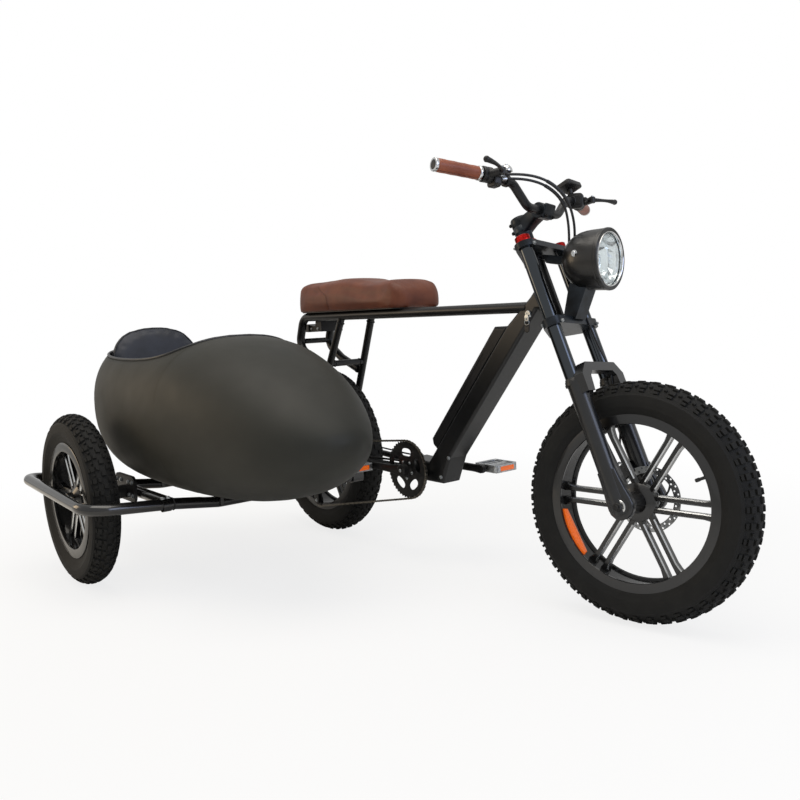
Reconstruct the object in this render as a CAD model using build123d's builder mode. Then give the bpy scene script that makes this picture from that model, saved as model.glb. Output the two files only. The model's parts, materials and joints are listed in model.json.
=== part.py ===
from build123d import *
from math import sin, cos, tan, radians, degrees, asin, acos, sqrt
import os

os.makedirs("parts", exist_ok=True)

# Electric bicycle with a sidecar on its right side, in millimetres
# X is forward, Y is left, Z is up, and the rear wheel stands on the origin until the last step

# Tyres: outer radius, height of the section above the bead seat, and its width
tyre_r = 285.0
tyre_h = 82.0
tyre_w = 100.0
side_tyre_r = 250.0
side_tyre_h = 90.0
side_tyre_w = 84.0
lug_h = 5.0
lug_len = 16.0
crown_half = 7.0
lug_count = 48
side_lug_count = 44

# Rims and hubs
rim_w = 80.0
side_rim_w = 66.0
flange_h = 9.0
axle_r = 6.0
side_axle_r = 10.0
fit = 0.05
motor_r = 92.0
hub_half = 55.0
side_hub_half = 38.0
spoke_pitch = 29.0
spoke_w = 13.0
spoke_cut = 2.6

# Steering
rake = 23.5
crown_offset = 35.0
axle_offset = 43.0
axle_drop = 682.0
lower_crown = 212.0
leg_y = 86.5
stanchion_r = 17.0
leg_r = 22.0
steer_at_rest = 11.5
head_x = 976.0
steerer_r = 15.0
bar_r = 11.1
bar_rise = 96.7
lamp_ahead = 221.0
lamp_drop = 35.3
cable_r = 3.2

# Drive
bb_x = 516.0
bb_z = 282.0
ring_y = -64.0
ring_r = 84.0
sprocket_r = 31.0
crank_len = 170.0
arm_y = 82.0
pedal_y = 142.0

# Frame
rail_r = 14.0
rail_y = 60.0
rail_drop = 143.3
down_w = 76.0
battery_w = 70.0
dropout_y = 74.0

# Sidecar
side_x = -26.0
side_y = -861.0
guard_r = 16.0
guard_in_y = -700.0
guard_gap = 33.0
cross_z = 232.0
rear_tube_x = -150.0
tub_y = -478.0
tub_wall = 5.0

# Sizes that follow from these
seat_r = tyre_r - tyre_h
side_seat_r = side_tyre_r - side_tyre_h
tyre_top = axle_drop - tyre_r
guard_front_x = side_x + side_tyre_r + 38
guard_rear_x = side_x - side_tyre_r - 30
guard_out_y = side_y - side_tyre_w / 2 - guard_gap

# The steered wheel leans as it turns, so the axle height keeps its tread on the ground
lean = asin(sin(radians(rake)) * sin(radians(steer_at_rest)))
turned_z = tyre_r * cos(lean) + crown_half * sin(lean)
axle_z = turned_z + axle_offset * sin(radians(rake)) * (1 - cos(radians(steer_at_rest)))

UP = Vector(-sin(radians(rake)), 0, cos(radians(rake)))
FORE = Vector(cos(radians(rake)), 0, sin(radians(rake)))
head_z = axle_z + axle_drop * cos(radians(rake)) - axle_offset * sin(radians(rake))
HEAD = Vector(head_x, 0, head_z)
front_axle = HEAD - UP * axle_drop + FORE * axle_offset
STEER = Plane(origin=HEAD, x_dir=FORE, z_dir=UP)
ARCH = Plane(origin=HEAD, x_dir=(0, 1, 0), z_dir=FORE)
rail_z = head_z - rail_drop
bar_z = head_z + bar_rise


def solid_of(part):
    return max(part.solids(), key=lambda s: s.volume)


def tube_along(points, radius, bends):
    with BuildPart() as tube:
        with BuildLine() as path:
            FilletPolyline(*points, radius=bends)
        with BuildSketch(Plane(origin=path.line @ 0, z_dir=path.line % 0)):
            Circle(radius)
        sweep()
    return tube.part


def rod(start, end, radius):
    start = Vector(*start)
    end = Vector(*end)
    with BuildPart() as bar:
        with BuildSketch(Plane(origin=start, z_dir=end - start)):
            Circle(radius)
        extrude(amount=(end - start).length)
    return bar.part


def around(x, z, outline):
    """An outline given from one point, placed at that point of the side view."""
    return [(x + ahead, z + above) for ahead, above in outline]


def roomy_bends(points):
    """The largest even arcs that a cable's runs leave room for, one for each corner."""
    points = [Vector(*p) for p in points]
    bends = []
    for before, corner, after in zip(points, points[1:], points[2:]):
        run_in = corner - before
        run_out = after - corner
        shorter = min(run_in.length, run_out.length)
        bends.append(0.45 * shorter / tan(radians(run_in.get_angle(run_out) / 2)))
    return bends


# Mag wheel: a barrel with flanges, a turned hub, and six pairs of flat bars with cut edges that
# open out where they meet the barrel
def mag_wheel(seat, width, hub_r, hub_w, bore, thick):
    inner = seat - 18
    half = width / 2
    with BuildPart() as bars:
        for side in (-1, 1):
            for start, end, grow in ((hub_r * 0.6, inner - 24, 0), (inner - 24, inner + 5, 9)):
                for x, wide in ((start, spoke_w), (end, spoke_w + grow)):
                    with BuildSketch(Plane.YZ.offset(x)):
                        with Locations((0, side * (spoke_pitch + wide - spoke_w) / 2)):
                            section = Rectangle(thick, wide)
                        chamfer(section.vertices(), length=spoke_cut)
                loft(ruled=True)
    with BuildPart() as wheel:
        with BuildSketch(Plane.XY):
            with BuildLine():
                Polyline(
                    (inner, -half), (seat + flange_h, -half), (seat + flange_h, 4 - half), (seat, 6 - half),
                    (seat, half - 6), (seat + flange_h, half - 4), (seat + flange_h, half), (inner, half),
                    (inner + 6, half - 10), (inner + 6, 10 - half), close=True)
            make_face()
        revolve(axis=Axis.Y)
        with BuildSketch(Plane.XY):
            with BuildLine():
                Polyline(
                    (bore, -hub_w), (hub_r * 0.45, -hub_w), (hub_r * 0.6, -thick), (hub_r, -thick / 2),
                    (hub_r, thick / 2), (hub_r * 0.6, thick), (hub_r * 0.45, hub_w), (bore, hub_w),
                    close=True)
            make_face()
        revolve(axis=Axis.Y)
        add([bars.part.rotate(Axis.Y, 60 * k) for k in range(6)])
    return wheel.part


# Fat tyre: a carcass with a stepped tread edge, and three staggered rows of lugs on its crown
def lug_tyre(outer, height, width, rim_width, count):
    seat = outer - height
    half = width / 2
    centre = outer - half
    bead = rim_width / 2 - 6
    floor = half - lug_h

    def at(angle, reach):
        return (centre + reach * cos(radians(angle)), reach * sin(radians(angle)))

    foot = degrees(acos((seat + flange_h - centre) / half))
    edge, crown, middle = 58, 20, 9
    with BuildPart() as body:
        with BuildSketch(Plane.XY):
            with BuildLine():
                Polyline((seat, 0), (seat, bead), (seat + flange_h, bead), at(foot, half))
                ThreePointArc(at(foot, half), at((foot + edge + 2) / 2, half), at(edge + 2, half))
                Polyline(at(edge + 2, half), at(edge, floor), at(crown, floor), at(middle, floor),
                         (at(middle, floor)[0], 0), (seat, 0))
            make_face()
            mirror(about=Plane.XZ)
        revolve(axis=Axis.Y)
    top = sqrt(outer ** 2 - (lug_len / 2) ** 2)
    root = at(middle, floor)[0] - 2
    lugs = []
    for outline, phase in (
            ([(root, -crown_half), (root, crown_half), (top, crown_half), (top, -crown_half)], 0),
            ([at(25, floor - 4), at(53, floor - 4), at(53, half), at(25, half)], 0.5),
            ([at(-25, floor - 4), at(-53, floor - 4), at(-53, half), at(-25, half)], 0.5)):
        with BuildPart() as lug:
            with BuildSketch(Plane.XY):
                with BuildLine():
                    Polyline(*outline, close=True)
                make_face()
            extrude(amount=lug_len / 2, both=True)
        lugs += [lug.part.rotate(Axis.Y, 360 * (k + phase) / count) for k in range(count)]
    return body.part + lugs


def brake_disc(radius, y, bore, thick=2.0):
    with BuildPart() as disc:
        with BuildSketch(Plane.XZ.offset(-y)):
            Circle(radius)
            Circle(bore, mode=Mode.SUBTRACT)
            with PolarLocations((radius + bore) * 0.46, 6):
                SlotOverall(radius * 0.42, radius * 0.28, rotation=90, mode=Mode.SUBTRACT)
            with PolarLocations(radius - 7, 24):
                Circle(2.6, mode=Mode.SUBTRACT)
        extrude(amount=thick / 2, both=True)
    return disc.part


bodies = {name: {} for name in (
    "frame", "steering", "front_wheel", "rear_wheel", "sidecar_wheel", "crank",
    "pedal_right", "pedal_left")}
frame = bodies["frame"]
steering = bodies["steering"]

# Down tube with its head gusset and the bracket housing
lower_line = [(bb_x - 16, bb_z - 32), (bb_x + 126, bb_z - 32), (bb_x + 160, bb_z + 46),
              (head_x + 46, rail_z - 8), (head_x + 72, rail_z - 8)]
upper_line = [(head_x + 44, rail_z + 46), (head_x + 26, rail_z + 26), (head_x - 60.5, rail_z - 48),
              (bb_x + 69, bb_z + 27), (bb_x - 16, bb_z + 31)]
with BuildPart() as down_tube:
    with BuildSketch(Plane.XZ):
        with BuildLine():
            Polyline(*lower_line, *upper_line, close=True)
        make_face()
    extrude(amount=down_w / 2, both=True)
    long_edges = down_tube.edges().filter_by(lambda e: abs(e.center().Y) > down_w / 2 - 0.1)
    fillet(long_edges, radius=9)
    with BuildSketch(Plane.XZ):
        with Locations((bb_x, bb_z)):
            Circle(26)
    extrude(amount=52, both=True)
    with BuildSketch(STEER.offset(7 - lower_crown)):
        Circle(steerer_r + 10)
    extrude(amount=lower_crown - 32)
    with BuildSketch(STEER.offset(2 - lower_crown)):
        Circle(steerer_r + fit)
    extrude(amount=lower_crown - 12, mode=Mode.SUBTRACT)
    with BuildSketch(Plane.XZ):
        with Locations((bb_x, bb_z)):
            Circle(12 + fit)
    extrude(amount=70, both=True, mode=Mode.SUBTRACT)
frame["down_tube"] = down_tube.part

# Battery pack on top of the down tube, its base on the tube's upper face
base_top = Vector(*upper_line[2])
base_low = Vector(*upper_line[3])
slope = (base_top - base_low).normalized()
battery_foot = base_top - slope * (base_top - base_low).length * 0.896


def over_base(point):
    """How far a point of the side view stands above the tube's upper face."""
    return slope.X * (point.Z - base_low.Y) - slope.Y * (point.X - base_low.X)


with BuildPart() as battery:
    with BuildSketch(Plane.XZ):
        with BuildLine():
            Polyline((base_top.X - 46, base_top.Y + 1), (base_top.X, base_top.Y),
                     (battery_foot.X, battery_foot.Y), (battery_foot.X - 15.3, battery_foot.Y + 12),
                     (battery_foot.X - 19.3, battery_foot.Y + 31), close=True)
        make_face()
    extrude(amount=battery_w / 2, both=True)
    outer_edges = battery.edges().filter_by(
        lambda e: abs(e.center().Y) > battery_w / 2 - 0.1 and over_base(e.center()) > 8)
    fillet(outer_edges, 9)
frame["battery_case"] = battery.part

# Key in the battery lock, under the head
with BuildPart() as key:
    with BuildSketch(Plane.XZ.offset(down_w / 2)):
        with Locations((head_x + 24, rail_z - 17)):
            Circle(9)
    extrude(amount=6)
    with BuildSketch(Plane.XZ.offset(down_w / 2 + 6)):
        with Locations((head_x + 24, rail_z - 28)):
            RectangleRounded(5, 34, 2)
        with Locations((head_x + 24, rail_z - 50)):
            RectangleRounded(17, 24, 6)
    extrude(amount=3)
frame["battery_key"] = key.part

# Twin seat rails that bend down behind the seat
with BuildPart() as rails:
    for side in (-1, 1):
        y = side * rail_y
        add(tube_along(
            [(head_x + 10, side * 26, rail_z), (600, y, rail_z), (-22, y, rail_z), (-56, y, rail_z - 95),
             (22, side * 62, rail_z - 146), (116, side * 66, rail_z - 184)],
            rail_r, bends=[150, 42, 42, 60]))
    with BuildSketch(Plane.XZ):
        with Locations((-46, rail_z - 82)):
            Circle(9)
    extrude(amount=rail_y, both=True)
frame["seat_rails"] = rails.part - frame["down_tube"]

# Struts from the rails to the rear dropouts, the right one with the gear hanger and its
# tension wheel, the left one with the brake caliper
strut_top = Vector(206, 61, rail_z - 8)
strut_foot = Vector(14, 84, tyre_r + 27)
strut_cross = strut_top + (strut_foot - strut_top) * 0.345
tension_x = 26
tension_z = tyre_r - 167
tension_r = 19
with BuildPart() as struts:
    for side in (-1, 1):
        add(rod((strut_top.X, side * strut_top.Y, strut_top.Z),
                (strut_foot.X, side * strut_foot.Y, strut_foot.Z), 12))
        with BuildSketch(Plane.XZ.offset(-side * dropout_y)):
            with BuildLine():
                Polyline(*around(0, tyre_r, [(-24, -23), (24, -27), (64, -11), (64, 15), (40, 59),
                                             (8, 53), (-22, 21)]), close=True)
            make_face()
        extrude(amount=4, both=True)
    with BuildSketch(Plane.XZ):
        with Locations((strut_cross.X, strut_cross.Z)):
            Circle(10)
    extrude(amount=rail_y + 6, both=True)
    with BuildSketch(Plane.XZ.offset(-ring_y)):
        with Locations((tension_x, tension_z)):
            Circle(tension_r)
    extrude(amount=2.5, both=True)
    with BuildSketch(Plane.XZ.offset(-ring_y + 8)):
        with BuildLine():
            Polyline((2, tyre_r - 17), (22, tyre_r - 23), (38, tension_z + 4), (26, tension_z - 14),
                     (12, tension_z - 2), close=True)
        make_face()
    extrude(amount=4)
    with BuildSketch(Plane.XZ.offset(-ring_y)):
        with Locations((tension_x, tension_z)):
            Circle(5)
    extrude(amount=12)
    with BuildSketch(Plane.XZ.offset(-66)):
        with Locations((40, tyre_r + 66)):
            RectangleRounded(42, 34, 8, rotation=-50)
    extrude(amount=12, both=True)
    with BuildSketch(Plane.XZ.offset(-66)):
        with Locations((0, tyre_r)):
            Circle(83)
    extrude(amount=12, mode=Mode.SUBTRACT)
    with BuildSketch(Plane.XZ):
        with Locations((0, tyre_r)):
            Circle(axle_r)
    extrude(amount=90, both=True, mode=Mode.SUBTRACT)
frame["struts"] = struts.part - frame["seat_rails"]

# Chainstays
with BuildPart() as stays:
    for side in (-1, 1):
        add(tube_along(
            [(50, side * 73, tyre_r + 1), (240, side * 66, tyre_r), (390, side * 46, bb_z + 1),
             (bb_x - 28, side * 40, bb_z)], 10, bends=[120, 120]))
frame["chainstays"] = stays.part - frame["down_tube"] - frame["struts"]

# Rear axle through the dropouts
with BuildPart() as rear_axle:
    with BuildSketch(Plane.XZ):
        with Locations((0, tyre_r)):
            Circle(axle_r)
    extrude(amount=100, both=True)
    with BuildSketch(Plane.XZ.offset(90)):
        with Locations((0, tyre_r)):
            Circle(axle_r)
    extrude(amount=40)
    for y, way in ((dropout_y + 4, -1), (-122, 1)):
        with BuildSketch(Plane.XZ.offset(-y)):
            with Locations((0, tyre_r)):
                RegularPolygon(10, 6)
        extrude(amount=way * 8)
frame["rear_axle"] = rear_axle.part

# Seat pan with the tail bracket under it
seat_x0 = -28
seat_x1 = 546
pan_z = rail_z + rail_r
with BuildPart() as pan:
    with BuildSketch(Plane.XY.offset(pan_z)):
        with Locations(((seat_x0 + seat_x1) / 2, 0)):
            RectangleRounded(seat_x1 - seat_x0 - 20, 170, 45)
    extrude(amount=6)
    with BuildSketch(Plane.XZ):
        with BuildLine():
            Polyline((-20, rail_z - 50), (60, rail_z - 50), (60, pan_z), (30, pan_z), (24, rail_z - 32),
                     (-20, rail_z - 26), close=True)
        make_face()
    extrude(amount=44, both=True)
    with BuildSketch(Plane.XZ):
        with Locations((-42, rail_z - 38)):
            RectangleRounded(46, 26, 6)
    extrude(amount=30, both=True)
frame["seat_base"] = pan.part - frame["seat_rails"]

# Long padded seat with its dip ahead of the rider
pad_z = pan_z + 6
with BuildPart() as seat:
    with BuildSketch(Plane.XZ):
        with BuildLine():
            Polyline((seat_x0, pad_z), (seat_x1, pad_z), (seat_x1, pad_z + 34))
            Spline((seat_x1, pad_z + 34), (510, pad_z + 74), (385, pad_z + 80), (225, pad_z + 95),
                   (40, pad_z + 97), (-12, pad_z + 88), (seat_x0, pad_z + 50))
            Line((seat_x0, pad_z + 50), (seat_x0, pad_z))
        make_face()
    extrude(amount=98, both=True)
    with BuildSketch(Plane.XY.offset(pad_z - 5)):
        with Locations(((seat_x0 + seat_x1) / 2, 0)):
            RectangleRounded(seat_x1 - seat_x0, 192, 62)
    extrude(amount=130, mode=Mode.INTERSECT)
frame["seat_cushion"] = seat.part

# Chain as one fixed loop round the ring, the sprocket and the tension wheel
# x, z, radius of what it runs on
chain_wheels = ((bb_x, bb_z, ring_r + 0.5), (0, tyre_r, sprocket_r + 0.5), (tension_x, tension_z, tension_r))
with BuildPart() as chain:
    with BuildSketch(Plane.XZ.offset(-ring_y)):
        for grow, mode in ((6, Mode.ADD), (0, Mode.SUBTRACT)):
            with BuildSketch(Plane.XZ.offset(-ring_y), mode=Mode.PRIVATE) as loop:
                for x, z, r in chain_wheels:
                    with Locations((x, z)):
                        Circle(r + grow)
                make_hull()
            add(loop.sketch, mode=mode)
    extrude(amount=3.5, both=True)
frame["chain"] = chain.part

# Sidecar chassis: a loop round its wheel, and two tubes under the tub to the bicycle
with BuildPart() as guard:
    add(tube_along(
        [(guard_front_x, guard_in_y, side_tyre_r), (guard_front_x, guard_out_y, side_tyre_r + 18),
         (guard_rear_x, guard_out_y, side_tyre_r + 40), (guard_rear_x, guard_in_y, side_tyre_r)],
        guard_r, bends=[62, 62]))
    add(rod((guard_rear_x, guard_in_y, side_tyre_r), (guard_front_x, guard_in_y, side_tyre_r), guard_r))
    for x in (guard_rear_x, guard_front_x):
        with Locations((x, guard_in_y, side_tyre_r)):
            Sphere(guard_r)
frame["wheel_guard"] = guard.part
post_rows = (tub_y - 82, tub_y + 83)


def cross_tube(x, hitch_y):
    """A tube under the tub, from the guard to the bicycle, with two posts that carry the tub."""
    with BuildPart() as tube:
        add(tube_along([(x, guard_in_y, side_tyre_r), (x, tub_y - 82, cross_z), (x, hitch_y, cross_z)],
                       guard_r, bends=[150]))
        for y in post_rows:
            with BuildSketch(Plane.XZ.offset(-y)):
                with Locations((x, cross_z + 12)):
                    Rectangle(44, 44)
            extrude(amount=5, both=True)
    return tube.part


with BuildPart() as front_cross:
    add(cross_tube(guard_front_x, -96))
    with BuildSketch(Plane.XZ.offset(56)):
        with Locations((guard_front_x, cross_z + 30)):
            RectangleRounded(40, 96, 14)
    extrude(amount=40)
with BuildPart() as rear_cross:
    add(cross_tube(rear_tube_x, -110))
    with BuildSketch(Plane.XZ.offset(98)):
        with BuildLine():
            Polyline((rear_tube_x - 28, cross_z - 18), (rear_tube_x + 22, cross_z - 24), (22, tyre_r - 23),
                     (20, tyre_r + 23), (-20, tyre_r + 23), (rear_tube_x - 20, cross_z + 24), close=True)
        make_face()
    extrude(amount=24)

# Sidecar wheel bracket and stub axle
plate_y = -guard_in_y + guard_r
with BuildPart() as stub:
    with BuildSketch(Plane.XZ.offset(plate_y)):
        with Locations((side_x, side_tyre_r + 12)):
            RectangleRounded(150, 78, 20)
    extrude(amount=8)
    with BuildSketch(Plane.XZ.offset(plate_y + 8)):
        with Locations((side_x, side_tyre_r)):
            Circle(20)
    extrude(amount=-side_y - side_hub_half - 3 - plate_y - 8)
    with BuildSketch(Plane.XZ.offset(plate_y + 8)):
        with Locations((side_x, side_tyre_r)):
            Circle(side_axle_r)
    extrude(amount=-side_y + side_hub_half + 11 - plate_y - 8)
frame["sidecar_axle"] = stub.part

# Tub: sections along its length, each a rounded rectangle
# x, half width, bottom, top, corner share
tub_sections = (
    (-500, 34, 420, 505, 0.95),
    (-484, 86, 376, 575, 0.95),
    (-455, 132, 342, 636, 0.94),
    (-400, 180, 308, 684, 0.92),
    (-320, 218, 278, 712, 0.90),
    (-200, 254, 258, 722, 0.86),
    (-60, 277, 250, 718, 0.84),
    (100, 283, 248, 713, 0.82),
    (260, 276, 248, 707, 0.82),
    (400, 256, 252, 690, 0.84),
    (520, 230, 264, 652, 0.88),
    (620, 196, 286, 602, 0.91),
    (700, 153, 320, 546, 0.94),
    (760, 100, 364, 498, 0.95),
    (794, 46, 408, 462, 0.95),
)


def tub_loft(inset):
    with BuildPart() as hull:
        for x, half, low, high, share in tub_sections:
            half_h = (high - low) / 2
            a = half - inset
            b = half_h - inset
            shift = inset * (0.8 if x < -470 else -0.8 if x > 740 else 0)
            with BuildSketch(Plane(origin=(x + shift, tub_y, low + half_h), x_dir=(0, 1, 0), z_dir=(1, 0, 0))):
                RectangleRounded(2 * a, 2 * b, min(a, b) * share)
        loft(ruled=True)
    return hull.part


with BuildPart() as tub:
    add(tub_loft(0))
    add(tub_loft(tub_wall), mode=Mode.SUBTRACT)
    with BuildSketch(Plane.XZ.offset(-tub_y)):
        with BuildLine():
            Polyline((-540, 672), (-430, 668), (-250, 656), (-50, 648), (140, 650), (240, 664),
                     (290, 692), (304, 800), (-540, 800), close=True)
        make_face()
    extrude(amount=320, both=True, mode=Mode.SUBTRACT)
frame["sidecar_tub"] = solid_of(tub.part)

tub_body = tub_loft(0)
frame["front_cross_tube"] = front_cross.part - frame["wheel_guard"] - tub_body - frame["chainstays"]
frame["rear_cross_tube"] = rear_cross.part - frame["wheel_guard"] - tub_body - frame["rear_axle"]

# Seat and back cushion in the tub
with BuildPart() as tub_seat:
    with BuildSketch(Plane.XY.offset(286)):
        with Locations((-60, tub_y)):
            RectangleRounded(380, 460, 60)
    extrude(amount=134)
    fillet(tub_seat.faces().sort_by(Axis.Z)[-1].edges(), 24)
    add(tub_loft(tub_wall + 0.2), mode=Mode.INTERSECT)
frame["tub_seat"] = solid_of(tub_seat.part)
with BuildPart() as tub_back:
    with BuildSketch(Plane(origin=(-240, tub_y, 430), x_dir=(0, 1, 0), z_dir=(0.97, 0, 0.24))):
        with Locations((0, 165)):
            RectangleRounded(330, 326, 120)
    extrude(amount=-50)
    fillet(tub_back.faces().sort_by(Axis.X)[-1].edges(), 16)
frame["tub_backrest"] = solid_of(tub_back.part - frame["sidecar_tub"] - frame["tub_seat"])

# Fork crowns with the steerer
with BuildPart() as crowns:
    for drop, thick in ((8, 15), (lower_crown, 20)):
        with BuildSketch(STEER.offset(-drop - thick)):
            with Locations((0, 0)):
                Circle(28)
            with Locations((crown_offset, leg_y), (crown_offset, -leg_y)):
                Circle(stanchion_r + 8)
            make_hull()
            with Locations((crown_offset, leg_y), (crown_offset, -leg_y)):
                Circle(stanchion_r, mode=Mode.SUBTRACT)
        extrude(amount=thick)
    with BuildSketch(STEER.offset(-lower_crown - 3)):
        Circle(steerer_r)
    extrude(amount=lower_crown - 12)
    with BuildSketch(STEER.offset(-10)):
        Circle(steerer_r)
    extrude(amount=90)
steering["fork_crowns"] = crowns.part

with BuildPart() as ring:
    with BuildSketch(STEER.offset(-8)):
        Circle(steerer_r + 9)
        Circle(steerer_r, mode=Mode.SUBTRACT)
    extrude(amount=12)
steering["headset_ring"] = ring.part

leg_top = tyre_top - 22
with BuildPart() as stanchions:
    with BuildSketch(STEER.offset(-leg_top)):
        with Locations((crown_offset, leg_y), (crown_offset, -leg_y)):
            Circle(stanchion_r)
    extrude(amount=leg_top - 3)
steering["fork_stanchions"] = stanchions.part

# Lower legs with the arch over the tyre and the axle
arch_top = -tyre_top + 59
arch_foot = -tyre_top - 13
with BuildPart() as lowers:
    with BuildSketch(STEER.offset(-axle_drop - 18)):
        with Locations((crown_offset + 4, leg_y), (crown_offset + 4, -leg_y)):
            Circle(leg_r)
    extrude(amount=axle_drop + 18 - leg_top)
    with BuildSketch(ARCH.offset(crown_offset + 14)):
        with BuildLine():
            Polyline((-104, arch_foot), (-104, arch_top - 28), (-74, arch_top), (74, arch_top),
                     (104, arch_top - 28), (104, arch_foot), (72, arch_foot), (66, arch_top - 34),
                     (52, arch_top - 22), (-52, arch_top - 22), (-66, arch_top - 34), (-72, arch_foot),
                     close=True)
        make_face()
    extrude(amount=24)
    with BuildSketch(Plane.XZ.offset(-front_axle.Y)):
        with Locations((front_axle.X, front_axle.Z)):
            Circle(axle_r)
    extrude(amount=100, both=True)
    with BuildSketch(Plane.XZ):
        with Locations((front_axle.X, front_axle.Z)):
            Circle(22)
    extrude(amount=102, both=True)
    with BuildSketch(Plane.XZ):
        with Locations((front_axle.X, front_axle.Z)):
            Circle(23)
            Circle(axle_r, mode=Mode.SUBTRACT)
    extrude(amount=65, both=True, mode=Mode.SUBTRACT)
    with BuildSketch(Plane.XZ):
        with Locations((front_axle.X, front_axle.Z)):
            RegularPolygon(11, 6)
    extrude(amount=110, both=True)
    with BuildSketch(Plane.XZ.offset(-66)):
        with Locations((front_axle.X - 62, front_axle.Z + 62)):
            RectangleRounded(40, 34, 8, rotation=45)
    extrude(amount=16, both=True)
    with BuildSketch(Plane.XZ):
        with Locations((front_axle.X, front_axle.Z)):
            Circle(83)
            Circle(axle_r, mode=Mode.SUBTRACT)
    extrude(amount=63, both=True, mode=Mode.SUBTRACT)
steering["fork_lowers"] = lowers.part - steering["fork_stanchions"]


# Stem and handlebar, both placed from the head
def on_bar(ahead, y, rise):
    return Vector(head_x + ahead, y, bar_z + rise)


# ahead of the head, left, above the bar's middle
bar_half = ((34, 72, 0), (26, 130, 50), (10, 222, 56), (-38, 347, 62))
bar_points = ([on_bar(ahead, -y, rise) for ahead, y, rise in bar_half[::-1]]
              + [on_bar(ahead, y, rise) for ahead, y, rise in bar_half])
handlebar = tube_along(bar_points, bar_r, bends=[90, 40, 40, 40, 40, 90])
steering["handlebar"] = handlebar
with BuildPart() as stem:
    with BuildSketch(STEER.offset(4)):
        Circle(steerer_r + 5)
    extrude(amount=46)
    with BuildSketch(STEER.offset(50)):
        Circle(steerer_r + 9)
    extrude(amount=42)
    with BuildSketch(Plane.XZ):
        with BuildLine():
            Polyline(*around(head_x, bar_z, [(-38, -44), (-10, -50), (34, -22), (56, -10), (54, 14),
                                             (28, 22), (-26, 0)]), close=True)
        make_face()
    extrude(amount=26, both=True)
    with BuildSketch(STEER.offset(-10)):
        Circle(steerer_r)
    extrude(amount=90, mode=Mode.SUBTRACT)
steering["stem"] = stem.part - handlebar

# Grips, brake levers and switches
grips = None
for side, word in ((-1, "right"), (1, "left")):
    tip = on_bar(-38, side * 347, 62)
    root = on_bar(10, side * 222, 56)
    along = (root - tip).normalized()
    grip = rod(tip - along * 8, tip + along * 118, 16) - handlebar
    grips = grip if grips is None else grips + grip
    inner = tip + along * 124
    with BuildPart() as control:
        add(rod(inner, inner + along * 26, 19))
        perch = inner + along * 13
        add(rod(perch, perch + Vector(46, 0, 4), 9))
        lever = perch + Vector(44, -side * 2, 4)
        add(rod(lever, lever + Vector(20, side * 92, 6), 5.5))
        with Locations(lever + Vector(20, side * 92, 6)):
            Sphere(8)
        if side < 0:
            add(rod(inner + along * 26, inner + along * 40, 16))
        else:
            with BuildSketch(Plane(origin=perch + along * 34, z_dir=along)):
                RectangleRounded(42, 40, 8)
            extrude(amount=24)
    steering["controls_" + word] = control.part - handlebar
steering["grips"] = grips

# Display on its own clamp, left of the stem
with BuildPart() as display:
    with BuildSketch(Plane(origin=on_bar(14, 168, 86), x_dir=(0, 1, 0), z_dir=(-0.45, 0, 0.9))):
        RectangleRounded(74, 46, 8)
    extrude(amount=14)
    add(rod(on_bar(20.8, 160, 52), on_bar(18, 176, 53), 15))
    add(rod(on_bar(19, 168, 60), on_bar(12, 168, 88), 7))
steering["controls_left"] = steering["controls_left"] + (display.part - handlebar)

with BuildPart() as bell:
    add(rod(on_bar(21.3, -157, 51.7), on_bar(23, -147, 51.1), 14.5))
    add(rod(on_bar(22, -152, 60), on_bar(22, -152, 74), 5))
    with Locations(on_bar(22, -152, 74)):
        Sphere(16, arc_size1=0)
steering["bell"] = solid_of(bell.part - handlebar)

# Headlight, its parts turned about one level axis through the lens
lamp = HEAD + Vector(lamp_ahead, 0, -lamp_drop)
lamp_axis = Axis(tuple(lamp), (1, 0, 0))


def turned_lamp(outline):
    """Turns an outline of (ahead of the lens, radius) about the lamp's axis."""
    with BuildPart() as shape:
        with BuildSketch(Plane.XZ):
            with BuildLine():
                Polyline(*around(lamp.X, lamp.Z, outline), close=True)
            make_face()
        revolve(axis=lamp_axis)
    return shape.part


bowl_outside = [(-119, 0), (-119, 10), (-111, 34), (-93, 56), (-67, 70), (-37, 74), (-3, 75), (3, 70)]
bowl_inside = [(3, 61), (-9, 61), (-37, 68), (-65, 64), (-89, 50), (-105, 30), (-113, 8), (-113, 0)]
steering["headlight_shell"] = turned_lamp(bowl_outside + bowl_inside)
steering["headlight_reflector"] = turned_lamp(
    [(-77, 0), (-69, 26), (-47, 48), (-9, 60.6), (-9, 58), (-45, 44), (-65, 24), (-73, 0)])
steering["headlight_lens"] = turned_lamp([(-9, 0), (-9, 61), (-5, 61), (1, 32), (3, 0)])
lamp_core = turned_lamp(bowl_inside[1:] + [(-9, 0)])

# Headlight block on the lower crown and its arm to the upper crown
with BuildPart() as lamp_mount:
    for outline, half in (([(-105, -132), (-73, -142), (-47, -68), (-47, -58), (-93, -58)], 26),
                          ([(-179, 22), (-167, 0), (-87, -12), (-87, 10)], 12)):
        with BuildSketch(Plane.XZ):
            with BuildLine():
                Polyline(*around(lamp.X, lamp.Z, outline), close=True)
            make_face()
        extrude(amount=half, both=True)
steering["headlight_mount"] = (lamp_mount.part - steering["headlight_shell"] - lamp_core
                               - steering["fork_crowns"] - steering["fork_stanchions"])

# Cables from the right controls, looped ahead of the bar to the back of the headlight
cables = None
for route in (
        [(1014, -196, 1046), (1062, -140, 1056), (1104, -60, 1020), (1112, -14, 950), (1106, -8, 905)],
        [(1014, -188, 1038), (1056, -134, 1046), (1094, -56, 1012), (1100, -24, 950), (1098, -20, 902)]):
    bends = roomy_bends(route)
    print("cable arcs", [round(bend, 1) for bend in bends], "mm for a diameter of", 2 * cable_r)
    cable = tube_along(route, cable_r, bends)
    cables = cable if cables is None else cables + cable
for other in ("controls_right", "headlight_shell", "grips"):
    cables = cables - steering[other]
steering["cables"] = cables

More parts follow.
